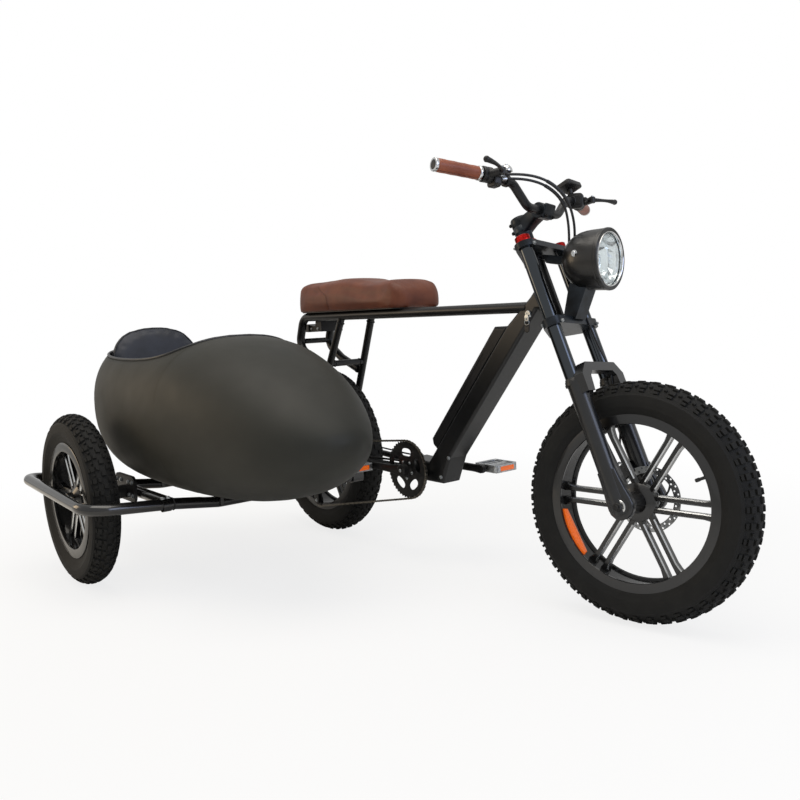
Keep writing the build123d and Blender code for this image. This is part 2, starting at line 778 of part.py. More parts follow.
# Wheels, each about its own axle
at_front = Location(tuple(front_axle))
at_rear = Location((0, 0, tyre_r))
at_side = Location((side_x, side_y, side_tyre_r))
big_tyre = lug_tyre(tyre_r, tyre_h, tyre_w, rim_w, lug_count)
bodies["front_wheel"]["front_rim"] = mag_wheel(seat_r, rim_w, 46, hub_half, axle_r + fit, 20).moved(at_front)
bodies["front_wheel"]["front_tyre"] = big_tyre.moved(at_front)
bodies["front_wheel"]["front_disc"] = brake_disc(80, hub_half + 1, 12).moved(at_front)
with BuildPart() as reflector_piece:
    with BuildSketch(Plane.XZ.offset(22)):
        Circle(seat_r - 10)
        Circle(seat_r - 36, mode=Mode.SUBTRACT)
        with BuildLine():
            Polyline((0, 0), (300 * cos(radians(191)), 300 * sin(radians(191))),
                     (300 * cos(radians(229)), 300 * sin(radians(229))), close=True)
        make_face(mode=Mode.INTERSECT)
    extrude(amount=10)
bodies["front_wheel"]["wheel_reflector"] = (
    reflector_piece.part.moved(at_front) - bodies["front_wheel"]["front_rim"])

# Rear wheel with the hub motor, and the sprocket on its own boss
with BuildPart() as motor:
    add(mag_wheel(seat_r, rim_w, motor_r, 50, axle_r + fit, 20))
    for radius, near, far in ((motor_r, -42, 42), (24, 0, 59)):
        with BuildSketch(Plane.XZ.offset(-near)):
            Circle(radius)
            Circle(axle_r + fit, mode=Mode.SUBTRACT)
        extrude(amount=near - far)
with BuildPart() as freewheel:
    for radius, near, depth in ((sprocket_r, -ring_y - 1.5, 3), (22, 50, 15)):
        with BuildSketch(Plane.XZ.offset(near)):
            Circle(radius)
            Circle(axle_r + fit, mode=Mode.SUBTRACT)
        extrude(amount=depth)
bodies["rear_wheel"]["rear_rim"] = motor.part.moved(at_rear)
bodies["rear_wheel"]["rear_sprocket"] = freewheel.part.moved(at_rear)
bodies["rear_wheel"]["rear_tyre"] = big_tyre.moved(at_rear)
bodies["rear_wheel"]["rear_disc"] = brake_disc(80, 60, 14).moved(at_rear)
bodies["sidecar_wheel"]["sidecar_rim"] = mag_wheel(
    side_seat_r, side_rim_w, 40, side_hub_half, side_axle_r + fit, 18).moved(at_side)
bodies["sidecar_wheel"]["sidecar_tyre"] = lug_tyre(
    side_tyre_r, side_tyre_h, side_tyre_w, side_rim_w, side_lug_count).moved(at_side)

# Chainring, spindle and crank arms as one turning piece
with BuildPart() as crankset:
    with BuildSketch(Plane.XZ.offset(-ring_y - 1.5)):
        with Locations((bb_x, bb_z)):
            Circle(ring_r)
            with PolarLocations(ring_r * 0.62, 5, start_angle=90):
                SlotOverall(44, 25, rotation=90, mode=Mode.SUBTRACT)
    extrude(amount=3)
    with BuildSketch(Plane.XZ):
        with Locations((bb_x, bb_z)):
            Circle(12)
    extrude(amount=arm_y + 8, both=True)
    for side in (-1, 1):
        with BuildSketch(Plane.XZ.offset(-side * (arm_y - 8))):
            with Locations((bb_x, bb_z)):
                Circle(18)
            with Locations((bb_x + side * crank_len, bb_z)):
                Circle(13)
            make_hull()
        extrude(amount=-side * 14)
        with BuildSketch(Plane.XZ.offset(-side * (arm_y + 6))):
            with Locations((bb_x + side * crank_len, bb_z)):
                Circle(6)
        extrude(amount=-side * (pedal_y - arm_y + 36))
bodies["crank"]["crankset"] = crankset.part

for side, word in ((-1, "right"), (1, "left")):
    with BuildPart() as pedal:
        with BuildSketch(Plane.XY.offset(bb_z)):
            with Locations((bb_x + side * crank_len, side * pedal_y)):
                RectangleRounded(96, 92, 10)
                with Locations((32, 0), (-32, 0)):
                    RectangleRounded(18, 70, 6, mode=Mode.SUBTRACT)
        extrude(amount=12, both=True)
        with BuildSketch(Plane.XZ):
            with Locations((bb_x + side * crank_len, bb_z)):
                Circle(6 + fit)
        extrude(amount=300, both=True, mode=Mode.SUBTRACT)
    bodies["pedal_" + word]["pedal_" + word] = pedal.part

# Turn everything that steers, then stand the whole row on its own box
steer_axis = Axis(tuple(HEAD), tuple(UP))
for group in ("steering", "front_wheel"):
    for name, piece in bodies[group].items():
        bodies[group][name] = piece.rotate(steer_axis, steer_at_rest)

boxes = [piece.bounding_box() for group in bodies.values() for piece in group.values()]
low = Vector(*(min(getattr(box.min, axis) for box in boxes) for axis in "XYZ"))
high = Vector(*(max(getattr(box.max, axis) for box in boxes) for axis in "XYZ"))
shift = Vector(-(low.X + high.X) / 2, -(low.Y + high.Y) / 2, -low.Z)
for group in bodies.values():
    for name, piece in group.items():
        placed = piece.moved(Location(tuple(shift)))
        placed.label = name
        export_step(placed, f"parts/{name}.step")
print("front_axle", front_axle, "head", HEAD)
print("size", high - low, "shift", shift, "pieces", len(boxes))
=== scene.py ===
# %% [markdown]
# An electric bicycle with a sidecar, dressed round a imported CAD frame. The CAD holds every size and
# every moving body. This file gives each visible surface its finish, and builds in mesh code the
# forms that a CAD solid leaves plain, such as tread, spokes, leather and chain.

# %% Load the frame
import bpy
import bmesh
import json
import math
from mathutils import Matrix, Vector


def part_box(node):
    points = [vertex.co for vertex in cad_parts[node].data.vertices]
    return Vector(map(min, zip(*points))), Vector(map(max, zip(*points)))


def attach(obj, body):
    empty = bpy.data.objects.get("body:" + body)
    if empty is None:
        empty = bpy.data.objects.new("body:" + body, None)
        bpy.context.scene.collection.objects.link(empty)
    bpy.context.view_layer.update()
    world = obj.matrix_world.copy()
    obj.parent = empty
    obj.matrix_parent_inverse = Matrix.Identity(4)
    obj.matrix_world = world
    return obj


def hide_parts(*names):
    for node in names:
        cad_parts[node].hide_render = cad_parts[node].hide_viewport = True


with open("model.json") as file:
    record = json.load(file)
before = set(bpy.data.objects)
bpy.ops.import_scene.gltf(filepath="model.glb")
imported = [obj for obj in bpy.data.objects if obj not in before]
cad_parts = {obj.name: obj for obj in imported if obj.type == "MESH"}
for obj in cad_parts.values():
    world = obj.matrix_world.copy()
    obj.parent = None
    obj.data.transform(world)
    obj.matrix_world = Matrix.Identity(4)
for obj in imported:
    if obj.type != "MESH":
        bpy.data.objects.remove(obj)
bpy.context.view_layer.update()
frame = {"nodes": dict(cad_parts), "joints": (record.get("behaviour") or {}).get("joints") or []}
nodes = frame["nodes"]
joints = {joint["name"]: joint for joint in frame["joints"]}

# %% [markdown]
# Two places are used most. `BIKE` takes millimetres measured from the rear tyre's ground
# point, X forward and Y left, to the frame's metres. `FORK` does the same and then turns about the
# steering axis, so that handlebar and fork parts are drawn straight ahead and stand turned. The
# wheels have their own places at their axles. Each place is kept with the body that it moves with.

# %% Places
STEER_AT_REST = math.radians(11.5)
MM = Matrix.Scale(0.001, 4)
ground = Vector(joints["rear_wheel_spin"]["pos_m"]) - Vector((0, 0, 0.285))
head = Vector(joints["steer"]["pos_m"])
steer_axis = Vector(joints["steer"]["axis"])
BIKE = Matrix.Translation(ground) @ MM
TURN = (Matrix.Translation(head) @ Matrix.Rotation(STEER_AT_REST, 4, steer_axis)
        @ Matrix.Translation(-head))
FORK = TURN @ BIKE
FRONT = (Matrix.Translation(Vector(joints["front_wheel_spin"]["pos_m"]))
         @ Matrix.Rotation(STEER_AT_REST, 4, steer_axis) @ MM)
REAR = Matrix.Translation(Vector(joints["rear_wheel_spin"]["pos_m"])) @ MM
SIDE = Matrix.Translation(Vector(joints["sidecar_wheel_spin"]["pos_m"])) @ MM
ON_BIKE = (BIKE, "frame")
ON_FORK = (FORK, "steering")
ON_FRONT = (FRONT, "front_wheel")
ON_REAR = (REAR, "rear_wheel")
ON_SIDE = (SIDE, "sidecar_wheel")
print("ground point", [round(v, 4) for v in ground])

# %% [markdown]
# The camera stands ahead and to the right, a little above the seat, about two and a half metres
# from the middle. Its place was solved from the photograph's wheels, rails and handlebar.

# %% Camera
camera = bpy.data.objects.new("camera", bpy.data.cameras.new("camera"))
bpy.context.collection.objects.link(camera)
EYE = (2459.51, -1632.12, 743.11)
LENS_MM = 37.86
right = Vector((0.62685046, 0.77800797, -0.04197725))
up = Vector((-0.05160378, 0.09521523, 0.99411826))
back = Vector((0.7774288, -0.62099731, 0.09983386))
camera.matrix_world = Matrix.Translation(BIKE @ Vector(EYE)) @ Matrix(
    (right, up, back)).transposed().to_4x4()
camera.data.lens = LENS_MM
camera.data.sensor_width = 36
bpy.context.scene.camera = camera
bpy.context.scene.view_settings.view_transform = "Standard"
print("camera at", [round(v, 3) for v in camera.matrix_world.translation])

# %% [markdown]
# The light is a large soft overhead sheet, a warm one on the sidecar's side and a cool one ahead,
# as in a studio with a pale surround. The floor and the surround are white to the camera and to
# reflections, and dimmer to everything else, so black paint stays black and still shows an edge.

# %% Lights and surround
def add_node(tree, kind, inputs=None, **settings):
    """Adds a node, sets what it is told, and fills its inputs with values or links."""
    node = tree.nodes.new(kind)
    for key, value in settings.items():
        setattr(node, key, value)
    for key, value in (inputs or {}).items():
        if isinstance(value, bpy.types.NodeSocket):
            tree.links.new(value, node.inputs[key])
        else:
            node.inputs[key].default_value = value
    return node


def linear(code):
    """An sRGB hex colour as the linear values that shaders use."""
    parts = [int(code[i:i + 2], 16) / 255 for i in (1, 3, 5)]
    return [p / 12.92 if p <= 0.04045 else ((p + 0.055) / 1.055) ** 2.4 for p in parts] + [1.0]


def soft_light(name, spot, target, size, power, colour):
    """A rectangular area lamp aimed at a target, with its size in metres and its power in watts."""
    lamp = bpy.data.lights.new(name, "AREA")
    lamp.shape = "RECTANGLE"
    lamp.size, lamp.size_y = size
    lamp.energy = power
    lamp.color = linear(colour)[:3]
    thing = bpy.data.objects.new(name, lamp)
    thing.location = spot
    thing.rotation_euler = (Vector(target) - Vector(spot)).to_track_quat("-Z", "Y").to_euler()
    bpy.context.collection.objects.link(thing)


soft_light("overhead", (0.3, -0.3, 3.4), (0, 0, 0.4), (3.2, 2.4), 62, "#fff8ee")
soft_light("warm_side", (-2.6, -2.6, 1.5), (-0.3, -0.2, 0.5), (1.4, 1.6), 24, "#ffe0b4")
soft_light("cool_front", (3.2, 0.8, 1.7), (0.3, 0, 0.6), (1.4, 2.0), 26, "#cfdcff")

world = bpy.data.worlds.new("studio")
world.use_nodes = True
bpy.context.scene.world = world
tree = world.node_tree
tree.nodes.clear()
ray = add_node(tree, "ShaderNodeLightPath")
seen = add_node(tree, "ShaderNodeMath",
                {0: ray.outputs["Is Camera Ray"], 1: ray.outputs["Is Transmission Ray"]},
                operation="MAXIMUM")
mirrored = add_node(tree, "ShaderNodeMath", {0: ray.outputs["Is Glossy Ray"], 1: 0.35},
                    operation="MULTIPLY")
seen = add_node(tree, "ShaderNodeMath", {0: seen.outputs[0], 1: mirrored.outputs[0]}, operation="MAXIMUM")
dim = add_node(tree, "ShaderNodeBackground", {"Color": linear("#f2f2f0"), "Strength": 0.45})
white = add_node(tree, "ShaderNodeBackground", {"Color": linear("#ffffff"), "Strength": 1.0})
both = add_node(tree, "ShaderNodeMixShader", {0: seen.outputs[0], 1: dim.outputs[0], 2: white.outputs[0]})
add_node(tree, "ShaderNodeOutputWorld", {"Surface": both.outputs[0]})

# %% [markdown]
# The floor is a wide sheet of white paper. Near the object a part of it is plain matt paper, which
# takes the shadow, and farther away it glows to a full white, so no horizon shows.

# %% Floor
FLOOR_REACH = 40
SHADOW_NEAR, SHADOW_FAR = 0.7, 2.4
floor_mesh = bpy.data.meshes.new("floor")
floor_mesh.from_pydata([(x * FLOOR_REACH, y * FLOOR_REACH, 0)
                        for x, y in ((-1, -1), (1, -1), (1, 1), (-1, 1))], [], [(0, 1, 2, 3)])
floor = bpy.data.objects.new("floor", floor_mesh)
bpy.context.collection.objects.link(floor)
paper = bpy.data.materials.new("white_paper_sweep")
paper.use_nodes = True
tree = paper.node_tree
tree.nodes.clear()
ray = add_node(tree, "ShaderNodeLightPath")
matt = add_node(tree, "ShaderNodeBsdfDiffuse", {"Color": linear("#f4f4f2")})
glow = add_node(tree, "ShaderNodeEmission", {"Color": linear("#ffffff"), "Strength": 1.0})
spot = add_node(tree, "ShaderNodeNewGeometry").outputs["Position"]
away = add_node(tree, "ShaderNodeVectorMath", {0: spot}, operation="LENGTH")
fade = add_node(tree, "ShaderNodeMapRange",
                {"Value": away.outputs["Value"], "From Min": SHADOW_NEAR, "From Max": SHADOW_FAR,
                 "To Min": 0.8, "To Max": 1.0}, interpolation_type="SMOOTHSTEP")
seen = add_node(tree, "ShaderNodeMath",
                {0: ray.outputs["Is Camera Ray"], 1: ray.outputs["Is Transmission Ray"]},
                operation="MAXIMUM")
share = add_node(tree, "ShaderNodeMath", {0: seen.outputs[0], 1: fade.outputs[0]}, operation="MULTIPLY")
cover = add_node(tree, "ShaderNodeMixShader", {0: share.outputs[0], 1: matt.outputs[0], 2: glow.outputs[0]})
add_node(tree, "ShaderNodeOutputMaterial", {"Surface": cover.outputs[0]})
floor.data.materials.append(paper)
print("lamps", len(bpy.data.lights), "floor", FLOOR_REACH * 2, "m wide")

# %% [markdown]
# Every finish starts from one helper: a principled shader whose even numbers sit on its own
# sockets, and a bump fed by a pattern whose scale comes from a real size. Patterns read object
# coordinates, which are metres in the frame, so 1 / 0.0015 draws grains of one and a half
# millimetres.

# %% The finish helper
def finish(name, colour, roughness, metallic=0.0, ior=1.5, **even):
    """A material with its shader, and the coordinates its patterns read."""
    material = bpy.data.materials.new(name)
    material.use_nodes = True
    tree = material.node_tree
    shader = tree.nodes["Principled BSDF"]
    shader.inputs["Base Color"].default_value = linear(colour)
    shader.inputs["Roughness"].default_value = roughness
    shader.inputs["Metallic"].default_value = metallic
    shader.inputs["IOR"].default_value = ior
    for key, value in even.items():
        shader.inputs[key.replace("_", " ")].default_value = value
    where = add_node(tree, "ShaderNodeTexCoord").outputs["Object"]
    return material, tree, shader, where


def mottle(tree, shader, where, dark, light, size_mm, spread=(0.35, 0.65), detail=3.0):
    """Lets the colour drift between two shades over patches of a given size."""
    noise = add_node(tree, "ShaderNodeTexNoise",
                     {"Vector": where, "Scale": 1000 / size_mm, "Detail": detail})
    ramp = add_node(tree, "ShaderNodeValToRGB", {"Fac": noise.outputs["Fac"]})
    ramp.color_ramp.elements[0].position, ramp.color_ramp.elements[1].position = spread
    ramp.color_ramp.elements[0].color = linear(dark)
    ramp.color_ramp.elements[1].color = linear(light)
    tree.links.new(ramp.outputs["Color"], shader.inputs["Base Color"])


def grain(tree, shader, where, size_mm, depth_mm):
    """A fine even bump, such as powder coat or moulded plastic."""
    noise = add_node(tree, "ShaderNodeTexNoise", {"Vector": where, "Scale": 1000 / size_mm, "Detail": 2.0})
    bump = add_node(tree, "ShaderNodeBump", {"Height": noise.outputs["Fac"], "Distance": depth_mm / 1000,
                                             "Strength": 1.0})
    tree.links.new(bump.outputs["Normal"], shader.inputs["Normal"])


# %% [markdown]
# Painted steel comes in two grades here. The bicycle frame is powder coated: baked powder leaves a
# satin surface with a faint orange peel. The sidecar's tubes are gloss enamel, which gives thin
# bright lines along each bend.

# %% Painted steel
powder_coat, tree, shader, where = finish("powder_coated_steel", "#0d0e0f", 0.4, Coat_Weight=0.15,
                                          Coat_Roughness=0.2, Specular_IOR_Level=0.38)
mottle(tree, shader, where, "#0b0c0d", "#101113", 60)
grain(tree, shader, where, 2.2, 0.05)
gloss_enamel, tree, shader, where = finish("gloss_enamelled_steel", "#0b0b0c", 0.2, Coat_Weight=0.6,
                                           Coat_Roughness=0.06)
grain(tree, shader, where, 5.0, 0.03)
fork_enamel, tree, shader, where = finish("enamelled_fork_casting", "#0e1012", 0.34, Coat_Weight=0.35,
                                          Coat_Roughness=0.16)
mottle(tree, shader, where, "#0c0d0f", "#121417", 45)
grain(tree, shader, where, 1.6, 0.05)
crown_anodised, tree, shader, where = finish("anodised_forged_aluminium", "#23282d", 0.34, 0.6)
mottle(tree, shader, where, "#1b1f23", "#2b3138", 30)
grain(tree, shader, where, 0.9, 0.02)
lamp_enamel, tree, shader, where = finish("gloss_lamp_enamel", "#0b0b0b", 0.36, Coat_Weight=0.2,
                                          Coat_Roughness=0.12)
grain(tree, shader, where, 4.0, 0.03)

# %% [markdown]
# The tub is moulded glass-fibre with a matt olive-black lacquer. Hand rubbing leaves broad patches
# where the lacquer is a little browner or bluer, and the laminate under it gives a very slow
# waviness that only the highlights show.

# %% Lacquered glass-fibre
tub_lacquer, tree, shader, where = finish("matt_lacquered_glass_fibre", "#282823", 0.56,
                                          Specular_IOR_Level=0.36)
mottle(tree, shader, where, "#23241f", "#2f2e28", 260, (0.3, 0.7), 4.0)
wave = add_node(tree, "ShaderNodeTexNoise", {"Vector": where, "Scale": 1000 / 70, "Detail": 1.0})
fine = add_node(tree, "ShaderNodeTexNoise", {"Vector": where, "Scale": 1000 / 1.4, "Detail": 2.0})
slow = add_node(tree, "ShaderNodeBump",
                {"Height": wave.outputs["Fac"], "Distance": 0.0015, "Strength": 0.5})
peel = add_node(tree, "ShaderNodeBump",
                {"Height": fine.outputs["Fac"], "Distance": 0.00004, "Normal": slow.outputs["Normal"]})
tree.links.new(peel.outputs["Normal"], shader.inputs["Normal"])
rub = add_node(tree, "ShaderNodeMapRange", {"Value": wave.outputs["Fac"], "To Min": 0.52, "To Max": 0.66})
tree.links.new(rub.outputs["Result"], shader.inputs["Roughness"])
tub_lining, tree, shader, where = finish("painted_tub_lining", "#1b1c1d", 0.7)
grain(tree, shader, where, 3.0, 0.08)

# %% [markdown]
# Tyre rubber is carbon black in a moulded compound. It scatters light broadly, its black drifts a
# little in tone, and the mould leaves fine ribs that are drawn here as a soft grain.

# %% Rubber and moulded plastics
tyre_rubber, tree, shader, where = finish("carbon_black_tyre_rubber", "#0f0f0e", 0.76,
                                          Specular_IOR_Level=0.35)
mottle(tree, shader, where, "#0c0c0b", "#151513", 35, (0.35, 0.75))
grain(tree, shader, where, 1.2, 0.12)
hose_rubber, tree, shader, where = finish("extruded_pvc_sleeve", "#101011", 0.42)
grain(tree, shader, where, 1.5, 0.05)
moulded_black, tree, shader, where = finish("moulded_glass_filled_nylon", "#0f0f10", 0.46)
mottle(tree, shader, where, "#0c0c0d", "#131315", 12)
grain(tree, shader, where, 0.7, 0.05)
battery_shell, tree, shader, where = finish("textured_abs_battery_shell", "#101011", 0.5,
                                            Specular_IOR_Level=0.38)
mottle(tree, shader, where, "#0d0d0e", "#141416", 50)
grain(tree, shader, where, 0.8, 0.06)

# %% [markdown]
# Bare metals keep the default IOR. Machined faces have an even roughness over a fine grain bump; plated
# bolts are smoother; hard chrome is nearly a mirror.

# %% Bare metals
machined_bright, tree, shader, where = finish("machined_aluminium_face", "#d6d8d8", 0.26, 1.0)
grain(tree, shader, where, 0.5, 0.02)
zinc_plate, tree, shader, where = finish("zinc_plated_steel", "#a9adb0", 0.3, 1.0)
mottle(tree, shader, where, "#989da0", "#bcc0c2", 8)
hard_chrome, tree, shader, where = finish("hard_chromed_tube", "#4a4e52", 0.12, 1.0)
grain(tree, shader, where, 2.5, 0.004)
disc_steel, tree, shader, where = finish("ground_stainless_disc", "#a8aaab", 0.28, 1.0)
grain(tree, shader, where, 0.6, 0.015)
chain_steel, tree, shader, where = finish("oiled_chain_steel", "#6d6963", 0.38, 1.0)
mottle(tree, shader, where, "#4f4c47", "#8a857c", 4)
cast_aluminium, tree, shader, where = finish("tumbled_cast_aluminium", "#b0b2b3", 0.4, 1.0)
mottle(tree, shader, where, "#9b9d9e", "#c2c4c5", 6)
grain(tree, shader, where, 0.9, 0.05)
polished_alloy, tree, shader, where = finish("polished_aluminium_ring", "#dcdddd", 0.14, 1.0)
grain(tree, shader, where, 1.5, 0.006)
red_anodised, tree, shader, where = finish("red_anodised_aluminium", "#c01f1a", 0.28, 0.85)
grain(tree, shader, where, 0.8, 0.01)
worn_black, tree, shader, where = finish("worn_black_steel", "#1a1a1b", 0.4, 0.3)
mottle(tree, shader, where, "#141415", "#2c2b2a", 14, (0.45, 0.8))
grain(tree, shader, where, 1.2, 0.04)

# %% [markdown]
# Leather is tanned hide with a pebbled grain of about a millimetre and a half, broad drifts of
# colour from the dye, and a soft sheen. The saddle is a warm brown, the grips redder, and the tub's
# cushions a dark navy leathercloth.

# %% Leather
def leather(name, base, dark, light, roughness, pebble_mm):
    """Hide or leathercloth with drifts of dye, a pebbled grain and slow folds."""
    material, tree, shader, where = finish(name, base, roughness, Specular_IOR_Level=0.45,
                                           Sheen_Weight=0.03, Sheen_Roughness=0.4)
    mottle(tree, shader, where, dark, light, 55, (0.3, 0.72), 4.0)
    pebbles = add_node(tree, "ShaderNodeTexVoronoi", {"Vector": where, "Scale": 1000 / pebble_mm},
                       feature="SMOOTH_F1")
    folds = add_node(tree, "ShaderNodeTexNoise", {"Vector": where, "Scale": 1000 / 14, "Detail": 3.0})
    low = add_node(tree, "ShaderNodeBump",
                   {"Height": folds.outputs["Fac"], "Distance": 0.0006, "Strength": 0.5})
    top = add_node(tree, "ShaderNodeBump", {"Height": pebbles.outputs["Distance"], "Distance": 0.00018,
                                            "Strength": 0.6, "Normal": low.outputs["Normal"]})
    tree.links.new(top.outputs["Normal"], shader.inputs["Normal"])
    return material


saddle_leather = leather("saddle_brown_leather", "#63301c", "#582815", "#713b22", 0.5, 1.6)
grip_leather = leather("stitched_grip_leather", "#8c4b32", "#7a3d28", "#9c573b", 0.42, 1.1)
navy_leather = leather("navy_leathercloth", "#20242e", "#1b1f28", "#272c38", 0.5, 1.6)
seam_thread, tree, shader, where = finish("waxed_seam_thread", "#3a2118", 0.6)
grain(tree, shader, where, 0.6, 0.05)
dark_piping, tree, shader, where = finish("rolled_vinyl_piping", "#15171b", 0.4)
grain(tree, shader, where, 1.0, 0.03)

# %% [markdown]
# Three clear or tinted plastics and a glass finish the lamps. The wheel reflector is orange
# acrylic with a moulded prism back and a faint painted glow; the headlight has pressed glass over an
# aluminised bowl.

# %% Lamps and reflectors
# The acrylic's emission is a painted glow: the reflectors shine a little as if they threw light back, under
# any lighting.
orange_prism_painted_glow, tree, shader, where = finish("moulded_orange_acrylic_painted_glow", "#f26a12", 0.18, Coat_Weight=0.5,
                                           Coat_Roughness=0.05, Emission_Color=linear("#f26a12"),
                                           Emission_Strength=0.25)
prism = add_node(tree, "ShaderNodeTexVoronoi", {"Vector": where, "Scale": 1000 / 3.5}, distance="MANHATTAN")
bump = add_node(tree, "ShaderNodeBump",
                {"Height": prism.outputs["Distance"], "Distance": 0.0008, "Strength": 0.7})
tree.links.new(bump.outputs["Normal"], shader.inputs["Normal"])
red_lens, tree, shader, where = finish("moulded_red_acrylic", "#6e1512", 0.2, Coat_Weight=0.6)
grain(tree, shader, where, 2.5, 0.08)
lamp_glass, tree, shader, where = finish("pressed_lamp_glass", "#f4f8f8", 0.03, ior=1.5,
                                         Transmission_Weight=1.0)
lines = add_node(tree, "ShaderNodeTexWave", {"Vector": where, "Scale": 1000 / 60}, wave_type="BANDS",
                 bands_direction="Y")
bump = add_node(tree, "ShaderNodeBump",
                {"Height": lines.outputs["Fac"], "Distance": 0.0002, "Strength": 0.3})
tree.links.new(bump.outputs["Normal"], shader.inputs["Normal"])
aluminised, tree, shader, where = finish("aluminised_reflector", "#e3e6e8", 0.12, 1.0)
grain(tree, shader, where, 3.0, 0.02)
screen_glass, tree, shader, where = finish("smoked_screen_glass", "#0d1012", 0.08, Coat_Weight=0.5)
grain(tree, shader, where, 6.0, 0.003)

# %% [markdown]
# Meshes are written as rings of points. `skin` joins rings, `turned` spins a profile about Y as a
# lathe does, `stamped` cuts a plate with holes from flat outlines, and `put` places the result in
# the frame, lets it ride on its body, gives it its finish, and shades round what should be round. `STAND`
# turns a plate drawn flat so that it stands along the bicycle.

# %% Mesh helpers
def skin(rings, ends=(True, True), round_trip=False):
    """Points and faces of a surface through rings with the same number of points."""
    n = len(rings[0])
    points = [tuple(p) for ring in rings for p in ring]
    faces = []
    for i in range(len(rings) if round_trip else len(rings) - 1):
        k = ((i + 1) % len(rings)) * n
        faces += [(i * n + j, i * n + (j + 1) % n, k + (j + 1) % n, k + j) for j in range(n)]
    if ends[0] and not round_trip:
        faces.append(tuple(range(n - 1, -1, -1)))
    if ends[1] and not round_trip:
        faces.append(tuple(range(len(points) - n, len(points))))
    return points, faces


def turned(profile, steps=64):
    """A closed profile of (radius, place along Y) points spun about Y."""
    rings = []
    for k in range(steps):
        t = 2 * math.pi * k / steps
        rings.append([(r * math.cos(t), y, r * math.sin(t)) for r, y in profile])
    return skin(rings, round_trip=True)


def joined(*shapes):
    """Several (points, faces) as one."""
    points, faces = [], []
    for more_points, more_faces in shapes:
        base = len(points)
        points += more_points
        faces += [tuple(base + i for i in face) for face in more_faces]
    return points, faces


def moved(shape, matrix):
    """The same faces with every point put through a matrix."""
    return [tuple(matrix @ Vector(p)) for p in shape[0]], shape[1]


STAND = Matrix.Rotation(math.radians(90), 4, "X")
FACE_UP = Matrix.Rotation(math.radians(-90), 4, "X")


def put(name, shape, place, body, slot, material, sharp=35, paint=None):
    """Makes a piece from (points, faces) in millimetres and lets it ride on a body."""
    mesh = bpy.data.meshes.new(name)
    mesh.from_pydata([place @ Vector(p) for p in shape[0]], [], shape[1])
    work = bmesh.new()
    work.from_mesh(mesh)
    bmesh.ops.remove_doubles(work, verts=work.verts, dist=1e-6)
    bmesh.ops.recalc_face_normals(work, faces=work.faces)
    for face in work.faces:
        face.smooth = True
    for edge in work.edges:
        edge.smooth = edge.calc_face_angle(0) < math.radians(sharp)
    work.to_mesh(mesh)
    work.free()
    thing = bpy.data.objects.new(name, mesh)
    bpy.context.collection.objects.link(thing)
    materials = material if isinstance(material, list) else [material]
    for entry in materials:
        mesh.materials.append(entry)
    if paint:
        for polygon in mesh.polygons:
            polygon.material_index = paint(polygon)
    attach(thing, body)
    print(name, "on", body, len(mesh.polygons), "faces")
    return thing


def stamped(outlines, thick, bevel=0.0):
    """A flat plate in local XY from closed outlines, the first outside and the rest holes."""
    curve = bpy.data.curves.new("stamp", "CURVE")
    curve.dimensions = "2D"
    curve.fill_mode = "BOTH"
    curve.extrude = max(thick / 2 - bevel, 0.01)
    curve.bevel_depth = bevel
    curve.offset = -bevel
    for outline in outlines:
        spline = curve.splines.new("POLY")
        spline.points.add(len(outline) - 1)
        for point, (x, y) in zip(spline.points, outline):
            point.co = (x, y, 0, 1)
        spline.use_cyclic_u = True
    thing = bpy.data.objects.new("stamp", curve)
    bpy.context.collection.objects.link(thing)
    mesh = bpy.data.meshes.new_from_object(thing)
    shape = [tuple(v.co) for v in mesh.vertices], [tuple(p.vertices) for p in mesh.polygons]
    bpy.data.objects.remove(thing)
    bpy.data.curves.remove(curve)
    bpy.data.meshes.remove(mesh)
    return shape


def circle(radius, steps=32, centre=(0, 0)):
    """A round outline."""
    return [(centre[0] + radius * math.cos(2 * math.pi * k / steps),
             centre[1] + radius * math.sin(2 * math.pi * k / steps)) for k in range(steps)]


def pipe(points, radius, steps=14):
    """A round bar through points, with its own frame carried along so that it never twists."""
    points = [Vector(p) for p in points]
    rings = []
    side = None
    for i, point in enumerate(points):
        ahead = (points[min(i + 1, len(points) - 1)] - points[max(i - 1, 0)]).normalized()
        if side is None:
            side = ahead.orthogonal().normalized()
        side = (side - ahead * side.dot(ahead)).normalized()
        other = ahead.cross(side)
        reach = radius(i / (len(points) - 1)) if callable(radius) else radius
        rings.append([point + side * reach * math.cos(2 * math.pi * k / steps)
                      + other * reach * math.sin(2 * math.pi * k / steps) for k in range(steps)])
    return skin(rings)


def round_curve(name, kind, spots, radius_mm, facets):
    """A curve with a round section through points given in metres, and its one spline."""
    curve = bpy.data.curves.new(name, "CURVE")
    curve.dimensions = "3D"
    curve.bevel_depth = radius_mm / 1000
    curve.bevel_resolution = facets
    spline = curve.splines.new(kind)
    spline.points.add(len(spots) - 1)
    for point, spot in zip(spline.points, spots):
        point.co = (*spot, 1)
    return curve, spline


def put_curve(name, curve, body, material):
    """Makes a piece from a curve and lets it ride on a body."""
    thing = bpy.data.objects.new(name, curve)
    bpy.context.collection.objects.link(thing)
    curve.materials.append(material)
    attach(thing, body)
    return thing


def cable(name, points, radius_mm, place, body, slot, material):
    """A smooth line whose control points are given in millimetres."""
    curve, spline = round_curve(name, "NURBS", [place @ Vector(xyz) for xyz in points], radius_mm, 3)
    curve.resolution_u = 8
    spline.order_u = 3
    spline.use_endpoint_u = True
    curve.use_fill_caps = True
    return put_curve(name, curve, body, material)


def rolled(name, line, radius_mm, body, material, closed=False, facets=2):
    """A thin round welt or piping along points given in metres."""
    curve, spline = round_curve(name, "POLY", line, radius_mm, facets)
    spline.use_cyclic_u = closed
    return put_curve(name, curve, body, material)


# %% [markdown]
# Most CAD nodes keep their own shape and take a finish. A narrow bevel modifier gives their edges
# the small radius that every sawn, forged or moulded edge has, and that catches the light. The
# wheels' paint is the tubes' enamel with less gloss, and it is matt inside the barrel, where brake
# dust and overspray dull it.

